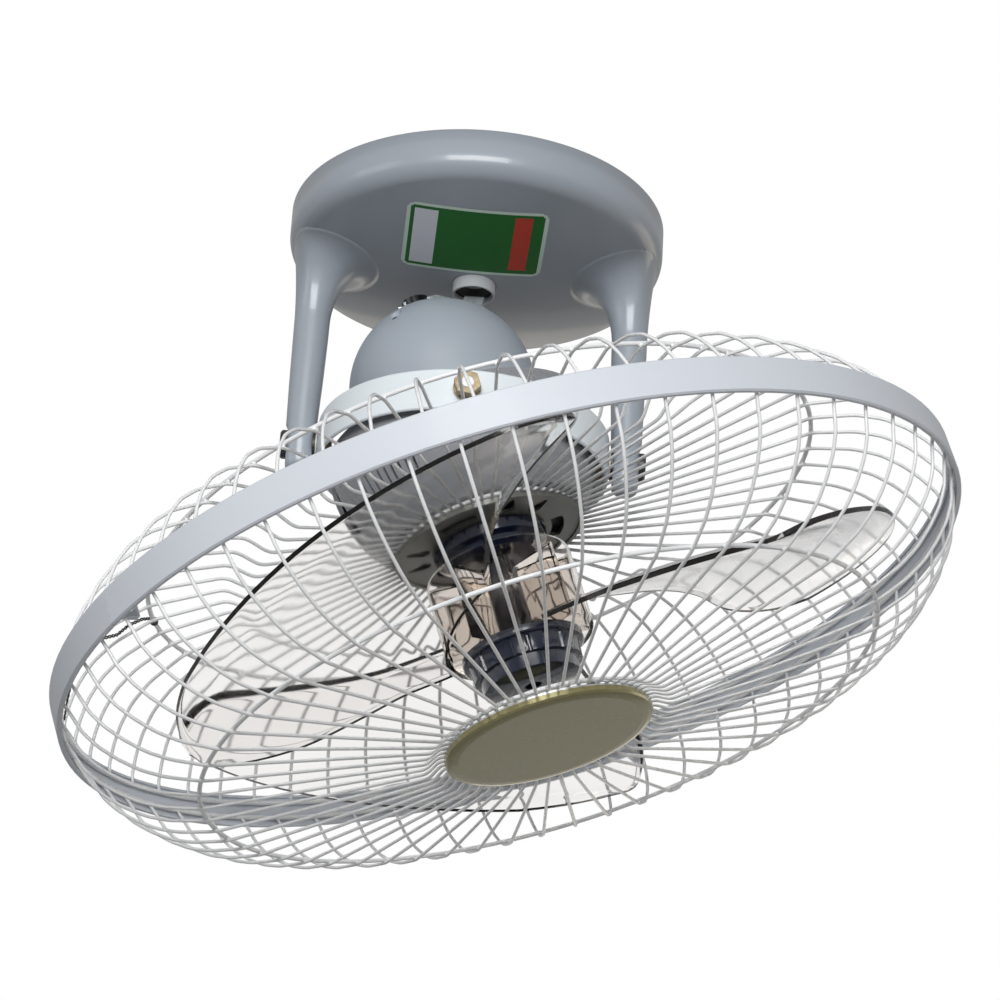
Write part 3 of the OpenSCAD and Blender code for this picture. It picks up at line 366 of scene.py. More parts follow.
flat_faces = []
rings = leg_rings()
for side in (1, -1):
    first = len(points)
    for ring in rings:
        points.extend(Vector((spot.x * side, spot.y * side, spot.z)) for spot in ring)
    for i in range(len(rings) - 1):
        for k in range(leg_sides):
            a = first + i * leg_sides + k
            b = first + i * leg_sides + (k + 1) % leg_sides
            if i == len(rings) - 2:
                flat_faces.append(len(faces))
            faces.append((a, b, b + leg_sides, a + leg_sides))
    top = first + (len(rings) - 1) * leg_sides
    points.append(Vector((neck_x * side, 0, lid_z)))
    for k in range(leg_sides):
        flat_faces.append(len(faces))
        faces.append((top + k, top + (k + 1) % leg_sides, len(points) - 1))
    faces.append(tuple(first + k for k in reversed(range(leg_sides))))
# inside are a ledge over the plate's tongue and the pads of the electrical parts
ledge = ((-18, -94.5, -5.95), (18, -88.9, -3.95))
right_pad = ((48, -20, -30.0), (68, 20, -22.6))
left_pad = ((-68, -20, -30.0), (-48, 20, -22.6))
for low, high in (ledge, right_pad, left_pad):
    first = len(points)
    points.extend(
        Vector((x, y, z))
        for z in (low[2], high[2]) for y in (low[1], high[1]) for x in (low[0], high[0])
    )
    for corners in (
        (0, 2, 3, 1), (4, 5, 7, 6), (0, 1, 5, 4), (2, 6, 7, 3), (0, 4, 6, 2), (1, 3, 7, 5),
    ):
        flat_faces.append(len(faces))
        faces.append(tuple(first + k for k in corners))
canopy_casting = new_piece("canopy_casting", points, faces, canopy_enamel)
for k in flat_faces:
    canopy_casting.data.polygons[k].use_smooth = False
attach(canopy_casting, "canopy_body")
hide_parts("canopy")

# Ceiling plate and screws: pressed and rolled steel with bright zinc plating,
# which shows a soft spangle and drawing lines. The screws hold cover and shells.
plated_metal, plate_in, plate_out = new_group(
    "plated_metal",
    [
        ("Colour", "Color", (0.7, 0.7, 0.7, 1)),
        ("Dull Colour", "Color", (0.5, 0.5, 0.5, 1)),
        ("Roughness", "Float", 0.3),
        ("Line Stretch", "Vector", (1.0, 1.0, 12.0)),
        ("Line Size", "Float", 700.0),
    ],
    [("Colour", "Color"), ("Roughness", "Float"), ("Height", "Float")],
)
node, join, sum_of = wire_up(plated_metal)
place = node("TexCoord").outputs["Object"]
squeeze = node("VectorMath", operation="MULTIPLY")
join(place, squeeze.inputs[0])
join(plate_in.outputs["Line Stretch"], squeeze.inputs[1])
lines = noise_at(node, join, squeeze.outputs[0], plate_in.outputs["Line Size"], 4.0, 0.65)
spangle = node("TexVoronoi")
join(place, spangle.inputs["Vector"])
spangle.inputs["Scale"].default_value = 420.0
patches = noise_at(node, join, place, 90.0, 4.0)
blend_in = node("MixRGB")
blend_in.use_clamp = True
join(
    sum_of("MULTIPLY", sum_of("ADD", spangle.outputs["Distance"], patches), 0.7),
    blend_in.inputs["Fac"],
)
join(plate_in.outputs["Colour"], blend_in.inputs["Color1"])
join(plate_in.outputs["Dull Colour"], blend_in.inputs["Color2"])
join(blend_in.outputs["Color"], plate_out.inputs["Colour"])
join(
    sum_of(
        "ADD", plate_in.outputs["Roughness"],
        sum_of("MULTIPLY", sum_of("SUBTRACT", lines, 0.5), 0.25),
    ),
    plate_out.inputs["Roughness"],
)
join(lines, plate_out.inputs["Height"])


def plated(name, colour, dull, rough, stretch=(1.0, 1.0, 12.0), line_size=700.0,
           line_mm=0.012, metallic=0.95):
    """Plated, drawn or turned metal with its lines and patches."""
    material, shader, tools = new_material(name)
    node, join, _ = tools
    skin = node("Group", node_tree=plated_metal)
    skin.inputs["Colour"].default_value = (*colour, 1)
    skin.inputs["Dull Colour"].default_value = (*dull, 1)
    skin.inputs["Roughness"].default_value = rough
    skin.inputs["Line Stretch"].default_value = stretch
    skin.inputs["Line Size"].default_value = line_size
    join(skin.outputs["Colour"], shader.inputs["Base Color"])
    join(skin.outputs["Roughness"], shader.inputs["Roughness"])
    bump_onto(shader, tools, skin.outputs["Height"], 0.4, line_mm)
    shader.inputs["Metallic"].default_value = metallic
    return material


zinc_plate = plated("zinc_plate", (0.72, 0.74, 0.76), (0.50, 0.52, 0.55), 0.30)
finish_nodes(
    zinc_plate, "ceiling_plate", "canopy_screws", "housing_screws", "swing_motor_screws",
    "crank_screw", "blade_drive_pin", "front_cap_screws",
)
bright_zinc = plated(
    "bright_zinc", (0.80, 0.86, 0.88), (0.58, 0.64, 0.68), 0.22,
    stretch=(1.0, 9.0, 1.0), line_size=900.0,
)
finish_nodes(bright_zinc, "swing_motor_bracket", "band_screw", "band_nut")

# Collar bush, terminal block and capacitor: small mouldings in pale nylon.
# The bush is pressed into the canopy, and the crank's end turns in its rubber.
pale_nylon = enamel(
    "pale_nylon", (0.62, 0.64, 0.67), (0.50, 0.51, 0.53),
    marks=0.5, rough=0.38, grain=1500.0, peel_mm=0.012, coat=0.15,
)
finish_nodes(pale_nylon, "collar_bush")
cream_nylon = enamel(
    "cream_nylon", (0.72, 0.71, 0.66), (0.55, 0.53, 0.47),
    marks=0.6, rough=0.5, grain=1300.0, peel_mm=0.02,
)
finish_nodes(cream_nylon, "terminal_block", "capacitor", "ring_bushes")
soft_rubber = enamel(
    "soft_rubber", (0.016, 0.016, 0.017), (0.035, 0.034, 0.033),
    marks=0.9, rough=0.62, spread=0.2, grain=1900.0, peel_mm=0.03,
)
finish_nodes(soft_rubber, "crank_socket", "dome_grommet")

# Leg pivots: zinc bolts under black caps, with black washers beside the ring
# and brass nuts inside it. The same brass nuts close the cross pivots.
black_nylon = enamel(
    "black_nylon", (0.022, 0.022, 0.024), (0.05, 0.05, 0.052),
    marks=0.8, rough=0.42, spread=0.2, grain=1600.0, peel_mm=0.02, coat=0.1,
)
finish_nodes(black_nylon, "pivot_caps", "pivot_washers")
turned_brass = plated(
    "turned_brass", (0.36, 0.31, 0.20), (0.20, 0.16, 0.10), 0.36,
    stretch=(10.0, 1.0, 1.0), line_size=800.0,
)
finish_nodes(turned_brass, "pivot_nuts", "cross_pivot_nuts")
turned_steel = plated(
    "turned_steel", (0.62, 0.63, 0.65), (0.40, 0.41, 0.43), 0.28,
    stretch=(8.0, 1.0, 8.0), line_size=500.0,
)
finish_nodes(
    turned_steel, "pivot_bolts", "cross_pivot_studs", "motor_shaft", "swing_shaft",
    "rear_bearing", "front_bearing",
)

# Gimbal ring: a steel strap rolled to a hoop, with two pivots to the legs and
# two to the motor, under white stove enamel.
white_enamel = enamel(
    "white_enamel", (0.86, 0.93, 0.97), (0.76, 0.80, 0.83),
    marks=0.5, rough=0.30, spread=0.14, grain=1000.0, peel_mm=0.016, coat=0.3,
)
finish_nodes(white_enamel, "gimbal_ring")

# Motor: two cast shells in grey enamel round a stack of steel sheets wound
# with enamelled copper, and a rotor of the same sheets.
motor_enamel = enamel(
    "motor_enamel", (0.285, 0.295, 0.315), (0.20, 0.205, 0.22),
    marks=0.8, rough=0.28, spread=0.16, grain=850.0, peel_mm=0.02, coat=0.3,
)
finish_nodes(motor_enamel, "motor_rear_housing", "motor_front_housing")
stacked_sheet = plated(
    "stacked_sheet", (0.36, 0.36, 0.37), (0.20, 0.19, 0.19), 0.42,
    stretch=(1.0, 1.0, 30.0), line_size=60.0, line_mm=0.06,
)
finish_nodes(stacked_sheet, "stator_core", "rotor_core")
copper_wire = plated(
    "copper_wire", (0.56, 0.22, 0.09), (0.30, 0.10, 0.04), 0.30,
    stretch=(1.0, 1.0, 16.0), line_size=110.0, line_mm=0.12,
)
finish_nodes(copper_wire, "stator_windings")
motor_can = plated("motor_can", (0.66, 0.67, 0.69), (0.5, 0.51, 0.53), 0.34)
finish_nodes(motor_can, "swing_motor")

# Rear dome: a moulded cover over the swing motor, a bluer grey than the motor,
# with a smooth gloss that a few fine flow marks break.
dome_plastic = enamel(
    "dome_plastic", (0.385, 0.43, 0.485), (0.345, 0.38, 0.42),
    marks=0.5, rough=0.46, spread=0.12, grain=650.0, peel_mm=0.010, coat=0.06,
)
finish_nodes(dome_plastic, "dome_cover")
blackened_steel = plated(
    "blackened_steel", (0.09, 0.09, 0.095), (0.04, 0.04, 0.045), 0.38, metallic=0.7,
)
finish_nodes(blackened_steel, "dome_screws")

# Crank: an arm bent from bright zinc-plated strip, with an upright tab that runs
# under the collar. Its boss is coloured near black, and a grub screw holds it.
gimbal_drop = 135.8
tilt = math.radians(18.9)
head = (
    Matrix.Translation((0, 0, -gimbal_drop * MM))
    @ Matrix.Rotation(-tilt, 4, "Y")
    @ Matrix.Rotation(math.pi, 4, "X")
)
boss_r = 8.3
crank_zinc, shader, tools = new_material("crank_zinc")
node, join, sum_of = tools
skin = node("Group", node_tree=plated_metal)
skin.inputs["Colour"].default_value = (0.80, 0.86, 0.88, 1)
skin.inputs["Dull Colour"].default_value = (0.58, 0.64, 0.68, 1)
skin.inputs["Roughness"].default_value = 0.22
skin.inputs["Line Stretch"].default_value = (1.0, 9.0, 1.0)
skin.inputs["Line Size"].default_value = 900.0
from_pivot = node("VectorMath", operation="SUBTRACT")
join(node("TexCoord").outputs["Object"], from_pivot.inputs[0])
from_pivot.inputs[1].default_value = head.translation
off_axis = node("VectorMath", operation="CROSS_PRODUCT")
join(from_pivot.outputs[0], off_axis.inputs[0])
off_axis.inputs[1].default_value = head.to_3x3() @ Vector((0, 0, 1))
away = node("VectorMath", operation="LENGTH")
join(off_axis.outputs[0], away.inputs[0])
# within boss_r of the swing shaft's axis the zinc colour is swapped for near black
on_boss = sum_of("LESS_THAN", away.outputs["Value"], boss_r * MM)
boss_darkening = node("MixRGB")
join(on_boss, boss_darkening.inputs["Fac"])
join(skin.outputs["Colour"], boss_darkening.inputs["Color1"])
boss_darkening.inputs["Color2"].default_value = (0.045, 0.047, 0.05, 1)
join(boss_darkening.outputs["Color"], shader.inputs["Base Color"])
join(skin.outputs["Roughness"], shader.inputs["Roughness"])
bump_onto(shader, tools, skin.outputs["Height"], 0.4, 0.012)
shader.inputs["Metallic"].default_value = 0.9
finish_nodes(crank_zinc, "crank_arm")

# Front cap, lock ring and centre ring: the cap is moulded, sprayed in champagne
# metallic and screwed to a galvanised ring, and the lock ring is pewter grey.
champagne_paint, shader, tools = new_material("champagne_paint")
node, join, _ = tools
skin = node("Group", node_tree=enamel_skin)
skin.inputs["Colour"].default_value = (0.345, 0.315, 0.145, 1)
skin.inputs["Worn Colour"].default_value = (0.28, 0.255, 0.12, 1)
skin.inputs["Marks"].default_value = 0.5
skin.inputs["Roughness"].default_value = 0.26
skin.inputs["Roughness Spread"].default_value = 0.12
skin.inputs["Grain Size"].default_value = 2400.0
flakes = node("TexVoronoi")
flakes.inputs["Scale"].default_value = 5200.0
join(node("TexCoord").outputs["Object"], flakes.inputs["Vector"])
glitter = node("MixRGB", blend_type="OVERLAY")
glitter.inputs["Fac"].default_value = 0.10
join(skin.outputs["Colour"], glitter.inputs["Color1"])
join(flakes.outputs["Color"], glitter.inputs["Color2"])
join(glitter.outputs["Color"], shader.inputs["Base Color"])
join(skin.outputs["Roughness"], shader.inputs["Roughness"])
bump_onto(shader, tools, skin.outputs["Height"], 0.2, 0.008)
shader.inputs["Metallic"].default_value = 0.35
shader.inputs["Coat Weight"].default_value = 0.5
shader.inputs["Coat Roughness"].default_value = 0.06
finish_nodes(champagne_paint, "front_cap")
pewter_paint = enamel(
    "pewter_paint", (0.205, 0.21, 0.19), (0.15, 0.15, 0.135),
    marks=0.5, rough=0.30, spread=0.14, grain=2400.0, peel_mm=0.008, coat=0.3, metallic=0.3,
)
finish_nodes(pewter_paint, "lock_ring")
galvanised = plated("galvanised", (0.70, 0.72, 0.73), (0.52, 0.54, 0.56), 0.36)
finish_nodes(galvanised, "guard_centre_ring")

# Bearing cap: a glossy moulding in a very dark navy, pressed on over the
# motor's front bearing inside the lock ring.
navy_plastic = enamel(
    "navy_plastic", (0.012, 0.018, 0.042), (0.03, 0.036, 0.055),
    marks=0.5, rough=0.16, spread=0.12, grain=900.0, peel_mm=0.008, coat=0.5,
)
finish_nodes(navy_plastic, "bearing_cap")

# Guard band: a rolled strip with both edges turned in, sprayed a pale cool
# grey, and drawn tight round the two rims by a screw through its ears.
band_enamel = enamel(
    "band_enamel", (0.70, 0.74, 0.80), (0.62, 0.65, 0.70),
    marks=0.5, rough=0.46, spread=0.14, grain=950.0, peel_mm=0.016, coat=0.08,
)
finish_nodes(band_enamel, "guard_band")

# Guards: sixty drawn steel wires each, spot-welded to round hoops and dipped
# in white enamel, which gathers at the welds.
def add_rod(points, faces, path, radius, sides=8, closed=False):
    """Adds a round rod along a path of 3-D points to the lists."""
    count = len(path)
    first = len(points)
    hint = Vector((0, 0, 1))
    for i, spot in enumerate(path):
        before = path[i - 1] if i or closed else path[i]
        after = path[(i + 1) % count] if i < count - 1 or closed else path[i]
        run = (Vector(after) - Vector(before)).normalized()
        if i == 0:
            hint = run.orthogonal().normalized()
        side = (hint - hint.dot(run) * run).normalized()
        hint = side
        lift = run.cross(side)
        for k in range(sides):
            turn = 2 * math.pi * k / sides
            points.append(
                Vector(spot) + radius * (math.cos(turn) * side + math.sin(turn) * lift)
            )
    spans = count if closed else count - 1
    for i in range(spans):
        here, there = first + i * sides, first + (i + 1) % count * sides
        for k in range(sides):
            up = (k + 1) % sides
            faces.append((here + k, here + up, there + up, there + k))
    if not closed:
        faces.append(tuple(first + k for k in reversed(range(sides))))
        faces.append(tuple(first + (count - 1) * sides + k for k in range(sides)))


def eased(line, bends=4, reach=0.28):
    """Rounds the corners of an (r, z) line."""
    out = [Vector(line[0])]
    for i in range(1, len(line) - 1):
        here = Vector(line[i])
        to_last = Vector(line[i - 1]) - here
        to_next = Vector(line[i + 1]) - here
        cut = min(to_last.length, to_next.length, 14.0) * reach
        start = here + to_last.normalized() * cut
        stop = here + to_next.normalized() * cut
        for k in range(bends + 1):
            t = k / bends
            out.append((1 - t) ** 2 * start + 2 * t * (1 - t) * here + t * t * stop)
    out.append(Vector(line[-1]))
    return out


def add_hoop(points, faces, r, z, radius, steps=150):
    """A closed round rod about the head's axis."""
    add_rod(
        points, faces, [spin(r, z, 360 * i / steps) for i in range(steps)],
        radius, closed=True,
    )


def add_bead(points, faces, spot, size):
    """A small eight-sided bead of enamel where two wires are welded."""
    first = len(points)
    ring = [(math.cos(a), math.sin(a)) for a in (k * math.pi / 4 for k in range(8))]
    points.append(spot + Vector((0, 0, -size)))
    for level_z, girth in ((-0.6, 0.8), (0, 1), (0.6, 0.8)):
        for x, y in ring:
            points.append(spot + size * Vector((x * girth, y * girth, level_z)))
    points.append(spot + Vector((0, 0, size)))
    for k in range(8):
        up = (k + 1) % 8
        faces.append((first, first + 1 + up, first + 1 + k))
        for row in (1, 9):
            faces.append(
                (first + row + k, first + row + up, first + row + 8 + up, first + row + 8 + k)
            )
        faces.append((first + 17 + k, first + 17 + up, first + 25))


def on_head(points):
    """Points drawn about the head's axis, put where the tilted head hangs."""
    return [head @ (Vector(p) * MM) / MM for p in points]


wire_r, hoop_wire_r, rim_wire_r, bead_r = 0.88, 1.2, 1.3, 1.35
wire_count = 60
guard_rim_r, hoop_at, front_ring_r, rear_ring_r = 232.0, 175.0, 50.8, 47.1
weld_sink = 0.3
wire_enamel = enamel(
    "wire_enamel", (0.95, 0.96, 0.97), (0.85, 0.86, 0.87),
    marks=0.6, rough=0.28, spread=0.16, grain=700.0, peel_mm=0.02, coat=0.3,
)

front_line = eased([
    (232.0, 96.5), (229.6, 103.0), (226.2, 113.5), (220.6, 122.3), (213.0, 130.4),
    (203.5, 138.2), (193.0, 143.9), (hoop_at, 150.0), (63.5, 160.5), (56.5, 156.5),
    (front_ring_r, 156.5),
])
points, faces = [], []
add_hoop(points, faces, guard_rim_r, 95.9, rim_wire_r)
add_hoop(points, faces, hoop_at, 150.0 - wire_r - hoop_wire_r + weld_sink, hoop_wire_r)
add_hoop(
    points, faces, front_ring_r, 156.5 - wire_r - hoop_wire_r + weld_sink, hoop_wire_r, 72
)
for i in range(wire_count):
    azimuth_deg = (i + 0.5) * 360 / wire_count
    add_rod(points, faces, [spin(p[0], p[1], azimuth_deg) for p in front_line], wire_r)
    add_bead(points, faces, spin(hoop_at, 149.0, azimuth_deg), bead_r)
front_wires = new_piece("front_wires", on_head(points), faces, wire_enamel)
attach(front_wires, "head")
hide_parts("front_guard")


def rear_line(step_in):
    """The rear wire's line; its step fades out towards the leg side."""
    before_step = deck_z + (ring_z - deck_z) * 0.31
    after_step = deck_z + (ring_z - deck_z) * 0.40
    line = [
        (232.0, 87.0), (230.6, 81.5), (225.6, 72.4), (219.2, 63.5), (209.6, 54.3),
        (196.7, 47.2), (hoop_at, deck_z),
    ]
    if step_in > 0:
        line.append((136.0, before_step + (deck_z + 1 - before_step) * step_in))
        line.append((125.0, after_step + (deck_z + 10 - after_step) * step_in))
    line.append((rear_ring_r, ring_z))
    return eased(line)


deck_z, ring_z = 41.0, 47.5
points, faces = [], []
add_hoop(points, faces, guard_rim_r, 87.1, rim_wire_r)
add_hoop(points, faces, hoop_at, deck_z - wire_r - hoop_wire_r + weld_sink, hoop_wire_r)
add_hoop(
    points, faces, rear_ring_r, ring_z - wire_r - hoop_wire_r + weld_sink, hoop_wire_r, 72
)
for i in range(wire_count):
    azimuth_deg = i * 360 / wire_count
    away = min(azimuth_deg, 360 - azimuth_deg)
    fade = max(0.0, min(1.0, (away - 38) / 17))
    fade = fade * fade * (3 - 2 * fade)
    add_rod(
        points, faces, [spin(p[0], p[1], azimuth_deg) for p in rear_line(fade)], wire_r
    )
    add_bead(points, faces, spin(hoop_at, 40.0, azimuth_deg), bead_r)
rear_wires = new_piece("rear_wires", on_head(points), faces, wire_enamel)
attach(rear_wires, "head")
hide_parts("rear_guard")

# Guard tie: two strands of thin black coated wire twisted together. It hooks
# round the rear hoop and lies on the rear wires down to the rim.
tie_route = [
    (187.8, 174.5, 37.6), (185.2, 180.0, 40.0), (184.2, 187.0, 42.6), (184.4, 194.0, 45.8),
    (182.6, 201.0, 48.4), (180.9, 207.0, 51.8), (181.6, 214.0, 57.2), (182.2, 222.0, 68.6),
    (183.0, 227.0, 78.0), (183.0, 229.6, 85.0),
]
strand_r, hook_r = 0.42, 1.9
twists_each, leg_steps = 4, 24
points, faces = [], []
for strand in (0, math.pi):
    path = []
    for i in range(leg_steps * (len(tie_route) - 1) + 1):
        leg = min(i // leg_steps, len(tie_route) - 2)
        part = i / leg_steps - leg
        az, r, z = (a + (b - a) * part for a, b in zip(tie_route[leg], tie_route[leg + 1]))
        wound = strand + 2 * math.pi * twists_each * i / leg_steps / 2
        path.append(spin(r, z + 0.55 * math.cos(wound), az + 0.18 * math.sin(wound)))
    add_rod(points, faces, path, strand_r, 6)
hook = [
    spin(hoop_at + hook_r * math.cos(a), 39.2 + hook_r * math.sin(a), 187.6 + 0.02 * k)
    for k, a in enumerate(2 * math.pi * j / 12 for j in range(30))
]
add_rod(points, faces, hook, strand_r, 6)
tie_wire = new_piece("tie_wire", on_head(points), faces, black_nylon)
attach(tie_wire, "head")
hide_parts("guard_tie")

# Blade: one injection moulding in smoky clear plastic, with three vanes round a
# ribbed hub. Its cut edges gather the tint and look almost black.
def smoke_glass(name, clear, deep, ior):
    """Tinted clear moulding with soft flow lines and fine scuffs."""
    material, shader, tools = new_material(name)
    node, join, sum_of = tools
    place = node("TexCoord").outputs["Object"]
    flow = noise_at(node, join, place, 34.0, 3.0)
    scuffs = noise_at(node, join, place, 420.0, 4.0, 0.7)
    tint = node("MixRGB")
    tint.inputs["Color1"].default_value = (*clear, 1)
    tint.inputs["Color2"].default_value = (*deep, 1)
    join(flow, tint.inputs["Fac"])
    join(tint.outputs["Color"], shader.inputs["Base Color"])
    join(sum_of("MULTIPLY", scuffs, 0.14), shader.inputs["Roughness"])
    bump_onto(shader, tools, flow, 0.08, 0.1)
    shader.inputs["Transmission Weight"].default_value = 1.0
    shader.inputs["IOR"].default_value = ior
    return material


smoke_clear = smoke_glass("smoke_clear", (0.94, 0.93, 0.92), (0.87, 0.855, 0.84), 1.10)
smoke_hub = smoke_glass("smoke_hub", (0.88, 0.855, 0.83), (0.80, 0.765, 0.735), 1.06)
smoke_edge = enamel(
    "smoke_edge", (0.012, 0.010, 0.009), (0.05, 0.04, 0.035),
    marks=0.4, rough=0.12, spread=0.1, grain=600.0, peel_mm=0.01, coat=0.4,
)
slate_sleeve = enamel(
    "slate_sleeve", (0.055, 0.055, 0.068), (0.09, 0.085, 0.09),
    marks=0.5, rough=0.12, spread=0.1, grain=800.0, peel_mm=0.01, coat=0.6,
)

hub_skin, root_r, rib_line_r = 38.2, 0.95, 0.4
vane_count, rib_count, vane_t, camber_mm, inner_r = 3, 8, 2.2, 5, 36.8
# radius, then turn and height of the rear edge, then turn and height of the front
vane_rows = [
    (35, -12, 89, 77, 112), (60, -18, 86.5, 67.4, 117), (86, -22.3, 83.6, 65, 123.8),
    (118, -29.9, 78.6, 62, 132.5), (150, -37.3, 73.5, 56, 139), (170, -39.5, 73.5, 51.5, 141.5),
    (183, -37.5, 77, 46, 136.5), (192, -34, 80.5, 39, 131), (197, -29, 84, 31, 125),
]


def row_at(u):
    """The vane's line at u rows from the root, by a smooth curve."""
    i = min(int(u), len(vane_rows) - 2)
    t = u - i
    a, b, c, d = (
        vane_rows[max(0, min(len(vane_rows) - 1, j))] for j in (i - 1, i, i + 1, i + 2)
    )
    return [
        0.5 * (2 * q + (r - p) * t + (2 * p - 5 * q + 4 * r - s) * t * t
               + (3 * q - p - 3 * r + s) * t ** 3)
        for p, q, r, s in zip(a, b, c, d)
    ]


def vane_spot(u, t):
    """A point of the vane's middle sheet, t of the way from rear to front."""
    r, az_rear, z_rear, az_front, z_front = row_at(u)
    az = az_rear + (az_front - az_rear) * t
    rows = len(vane_rows) - 1
    camber = camber_mm * math.sin(math.pi * t) * math.sin(math.pi * u / rows * 0.8)
    return spin(max(r, inner_r), z_rear + (z_front - z_rear) * t - camber, az)


long_steps, wide_steps = 42, 26
points, faces, edge_faces = [], [], []
for vane in range(vane_count):
    turn = Matrix.Rotation(math.radians(360 / vane_count * vane), 3, "Z")
    base = len(points)
    grid = [
        [vane_spot((len(vane_rows) - 1) * i / long_steps, j / wide_steps)
         for j in range(wide_steps + 1)]
        for i in range(long_steps + 1)
    ]
    for sign in (-1, 1):
        for i, row in enumerate(grid):
            for j, spot in enumerate(row):
                along = grid[min(i + 1, long_steps)][j] - grid[max(i - 1, 0)][j]
                wide = row[min(j + 1, wide_steps)] - row[max(j - 1, 0)]
                normal = wide.cross(along).normalized()
                if normal.z < 0:
                    normal = -normal
                points.append(turn @ (spot + normal * sign * vane_t / 2))
    width = wide_steps + 1
    count = width * (long_steps + 1)
    for i in range(long_steps):
        for j in range(wide_steps):
            a = base + i * width + j
            faces.append((a, a + 1, a + width + 1, a + width))
            faces.append(tuple(count + k for k in (a, a + width, a + width + 1, a + 1)))
    rim = (
        [i * width for i in range(long_steps + 1)]
        + [long_steps * width + j for j in range(1, width)]
        + [i * width + wide_steps for i in range(long_steps - 1, -1, -1)]
    )
    for a, b in zip(rim, rim[1:]):
        edge_faces.append((base + a, base + b, base + count + b, base + count + a))
vane_faces = len(faces)


def add_slab(points, faces, corners_low, corners_high):
    """A six-sided slab from four lower and four upper corners."""
    first = len(points)
    points.extend(corners_low + corners_high)
    faces.extend(
        tuple(first + k for k in side)
        for side in (
            (3, 2, 1, 0), (4, 5, 6, 7), (0, 1, 5, 4), (1, 2, 6, 5), (2, 3, 7, 6), (3, 0, 4, 7),
        )
    )


add_lathe(points, faces, [
    (36.6, 66.0), (37.4, 66.0), (38.0, 68.0), (38.4, 90.0), (38.2, 109.0), (37.0, 111.0),
    (10.0, 111.0), (10.0, 108.8), (35.4, 108.6), (35.9, 90.0), (35.7, 68.0),
])
rib_foot = [(9.5, -0.9, 71), (36, -0.9, 69), (36, 0.9, 69), (9.5, 0.9, 71)]
rib_head = [(x, y, 109) for x, y, _ in rib_foot]
for k in range(rib_count):
    turn = Matrix.Rotation(math.radians(360 / rib_count * k), 3, "Z")
    add_slab(
        points, faces,
        [turn @ Vector(corner) for corner in rib_foot],
        [turn @ Vector(corner) for corner in rib_head],
    )
hub_faces = len(faces)
add_lathe(points, faces, [(4.2, 66.2), (9.6, 66.2), (10.0, 67.0), (10.0, 108.6), (4.2, 108.6)])
sleeve_faces = len(faces)
root_steps = 24
for vane in range(vane_count):
    root = [vane_spot(0, k / root_steps) for k in range(root_steps + 1)]
    turned = 360 / vane_count * vane
    add_rod(
        points, faces,
        [spin(hub_skin, p.z, math.degrees(math.atan2(p.y, p.x)) + turned) for p in root],
        root_r, 6,
    )
for k in range(rib_count):
    rib_at = 360 / rib_count * k
    add_rod(points, faces, [spin(35.2, z, rib_at + 1.9) for z in (70, 109)], rib_line_r, 6)
    add_rod(points, faces, [spin(r, 70.2, rib_at) for r in (10.5, 35.2)], rib_line_r, 6)
fan_blade = new_piece("fan_blade", on_head(points), faces + edge_faces, smoke_clear)
for finish in (smoke_edge, smoke_hub, slate_sleeve):
    fan_blade.data.materials.append(finish)
edge_slot, hub_slot, sleeve_slot = 1, 2, 3
for slot_id, start, stop in (
    (hub_slot, vane_faces, hub_faces), (sleeve_slot, hub_faces, sleeve_faces),
    (edge_slot, sleeve_faces, None),
):
    for face in fan_blade.data.polygons[start:stop]:
        face.material_index = slot_id
for face in fan_blade.data.polygons[len(faces):]:
    face.use_smooth = False
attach(fan_blade, "rotor")
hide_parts("blade")

# Spinner: a glossy navy moulding screwed on the motor shaft, with a broad
# flange that holds the blade and a skirt that is grooved for the fingers.
spinner_line = [
    (4.3, 111.1), (31.0, 111.1), (31.4, 111.5), (31.4, 114.6), (30.8, 115.3), (29.0, 115.6),
    (28.7, 116.2), (28.0, 124.4), (25.6, 124.8), (25.0, 131.4), (23.6, 132.2), (4.3, 132.2),
]
spinner_steps, groove_every, groove_depth = 240, 12, 0.03
points, faces = [], []
add_lathe(points, faces, spinner_line, spinner_steps)
for i, spot in enumerate(points):
    step, level_k = divmod(i, len(spinner_line))
    if level_k in (6, 7) and step % groove_every in (0, 1):
        spot.xy *= 1 - groove_depth
spinner = new_piece("spinner", on_head(points), faces, navy_plastic)
spinner.data.set_sharp_from_angle(angle=math.radians(32))
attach(spinner, "rotor")
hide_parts("spinner_nut")

# Sticker: a green paper label with a pale border, a pale field and a red field.
# Its gum holds it to the canopy's swelling underside, ahead of the collar.
sticker_paper = []
for name, colour in (
    ("sticker_border", (0.72, 0.86, 0.76)), ("sticker_green", (0.004, 0.155, 0.012)),
    ("sticker_pale", (0.80, 0.82, 0.88)), ("sticker_red", (0.62, 0.050, 0.022)),
):
    sticker_paper.append(enamel(
        name, colour, tuple(c * 0.72 for c in colour),
        marks=0.5, rough=0.62, spread=0.15, grain=2200.0, peel_mm=0.01,
    ))
sticker_low = Vector((-39.3, -14.4))
sticker_wide = Vector((73.2, 3.3))
sticker_tall = Vector((2.8, -56.0))
paper_lift = 0.12
border, green, pale, red = range(4)
grid, cells, field = [], [], []
steps_wide, steps_tall, corner_r, border_w = 72, 50, 5.0, 1.6
for j in range(steps_tall + 1):
    for i in range(steps_wide + 1):
        # a point past a rounded corner is drawn in to its arc
        in_x = corner_r - min(i, steps_wide - i)
        in_y = corner_r - min(j, steps_tall - j)
        draw_in = 0.0
        if in_x > 0 and in_y > 0:
            draw_in = max(0.0, 1 - corner_r / math.hypot(in_x, in_y))
        x = i + in_x * draw_in * (1 if i < steps_wide / 2 else -1)
        y = j + in_y * draw_in * (1 if j < steps_tall / 2 else -1)
        spot = sticker_low + sticker_wide * (x / steps_wide) + sticker_tall * (y / steps_tall)
        grid.append(Vector((spot.x, spot.y, skin_z(spot.x, spot.y) - paper_lift)))
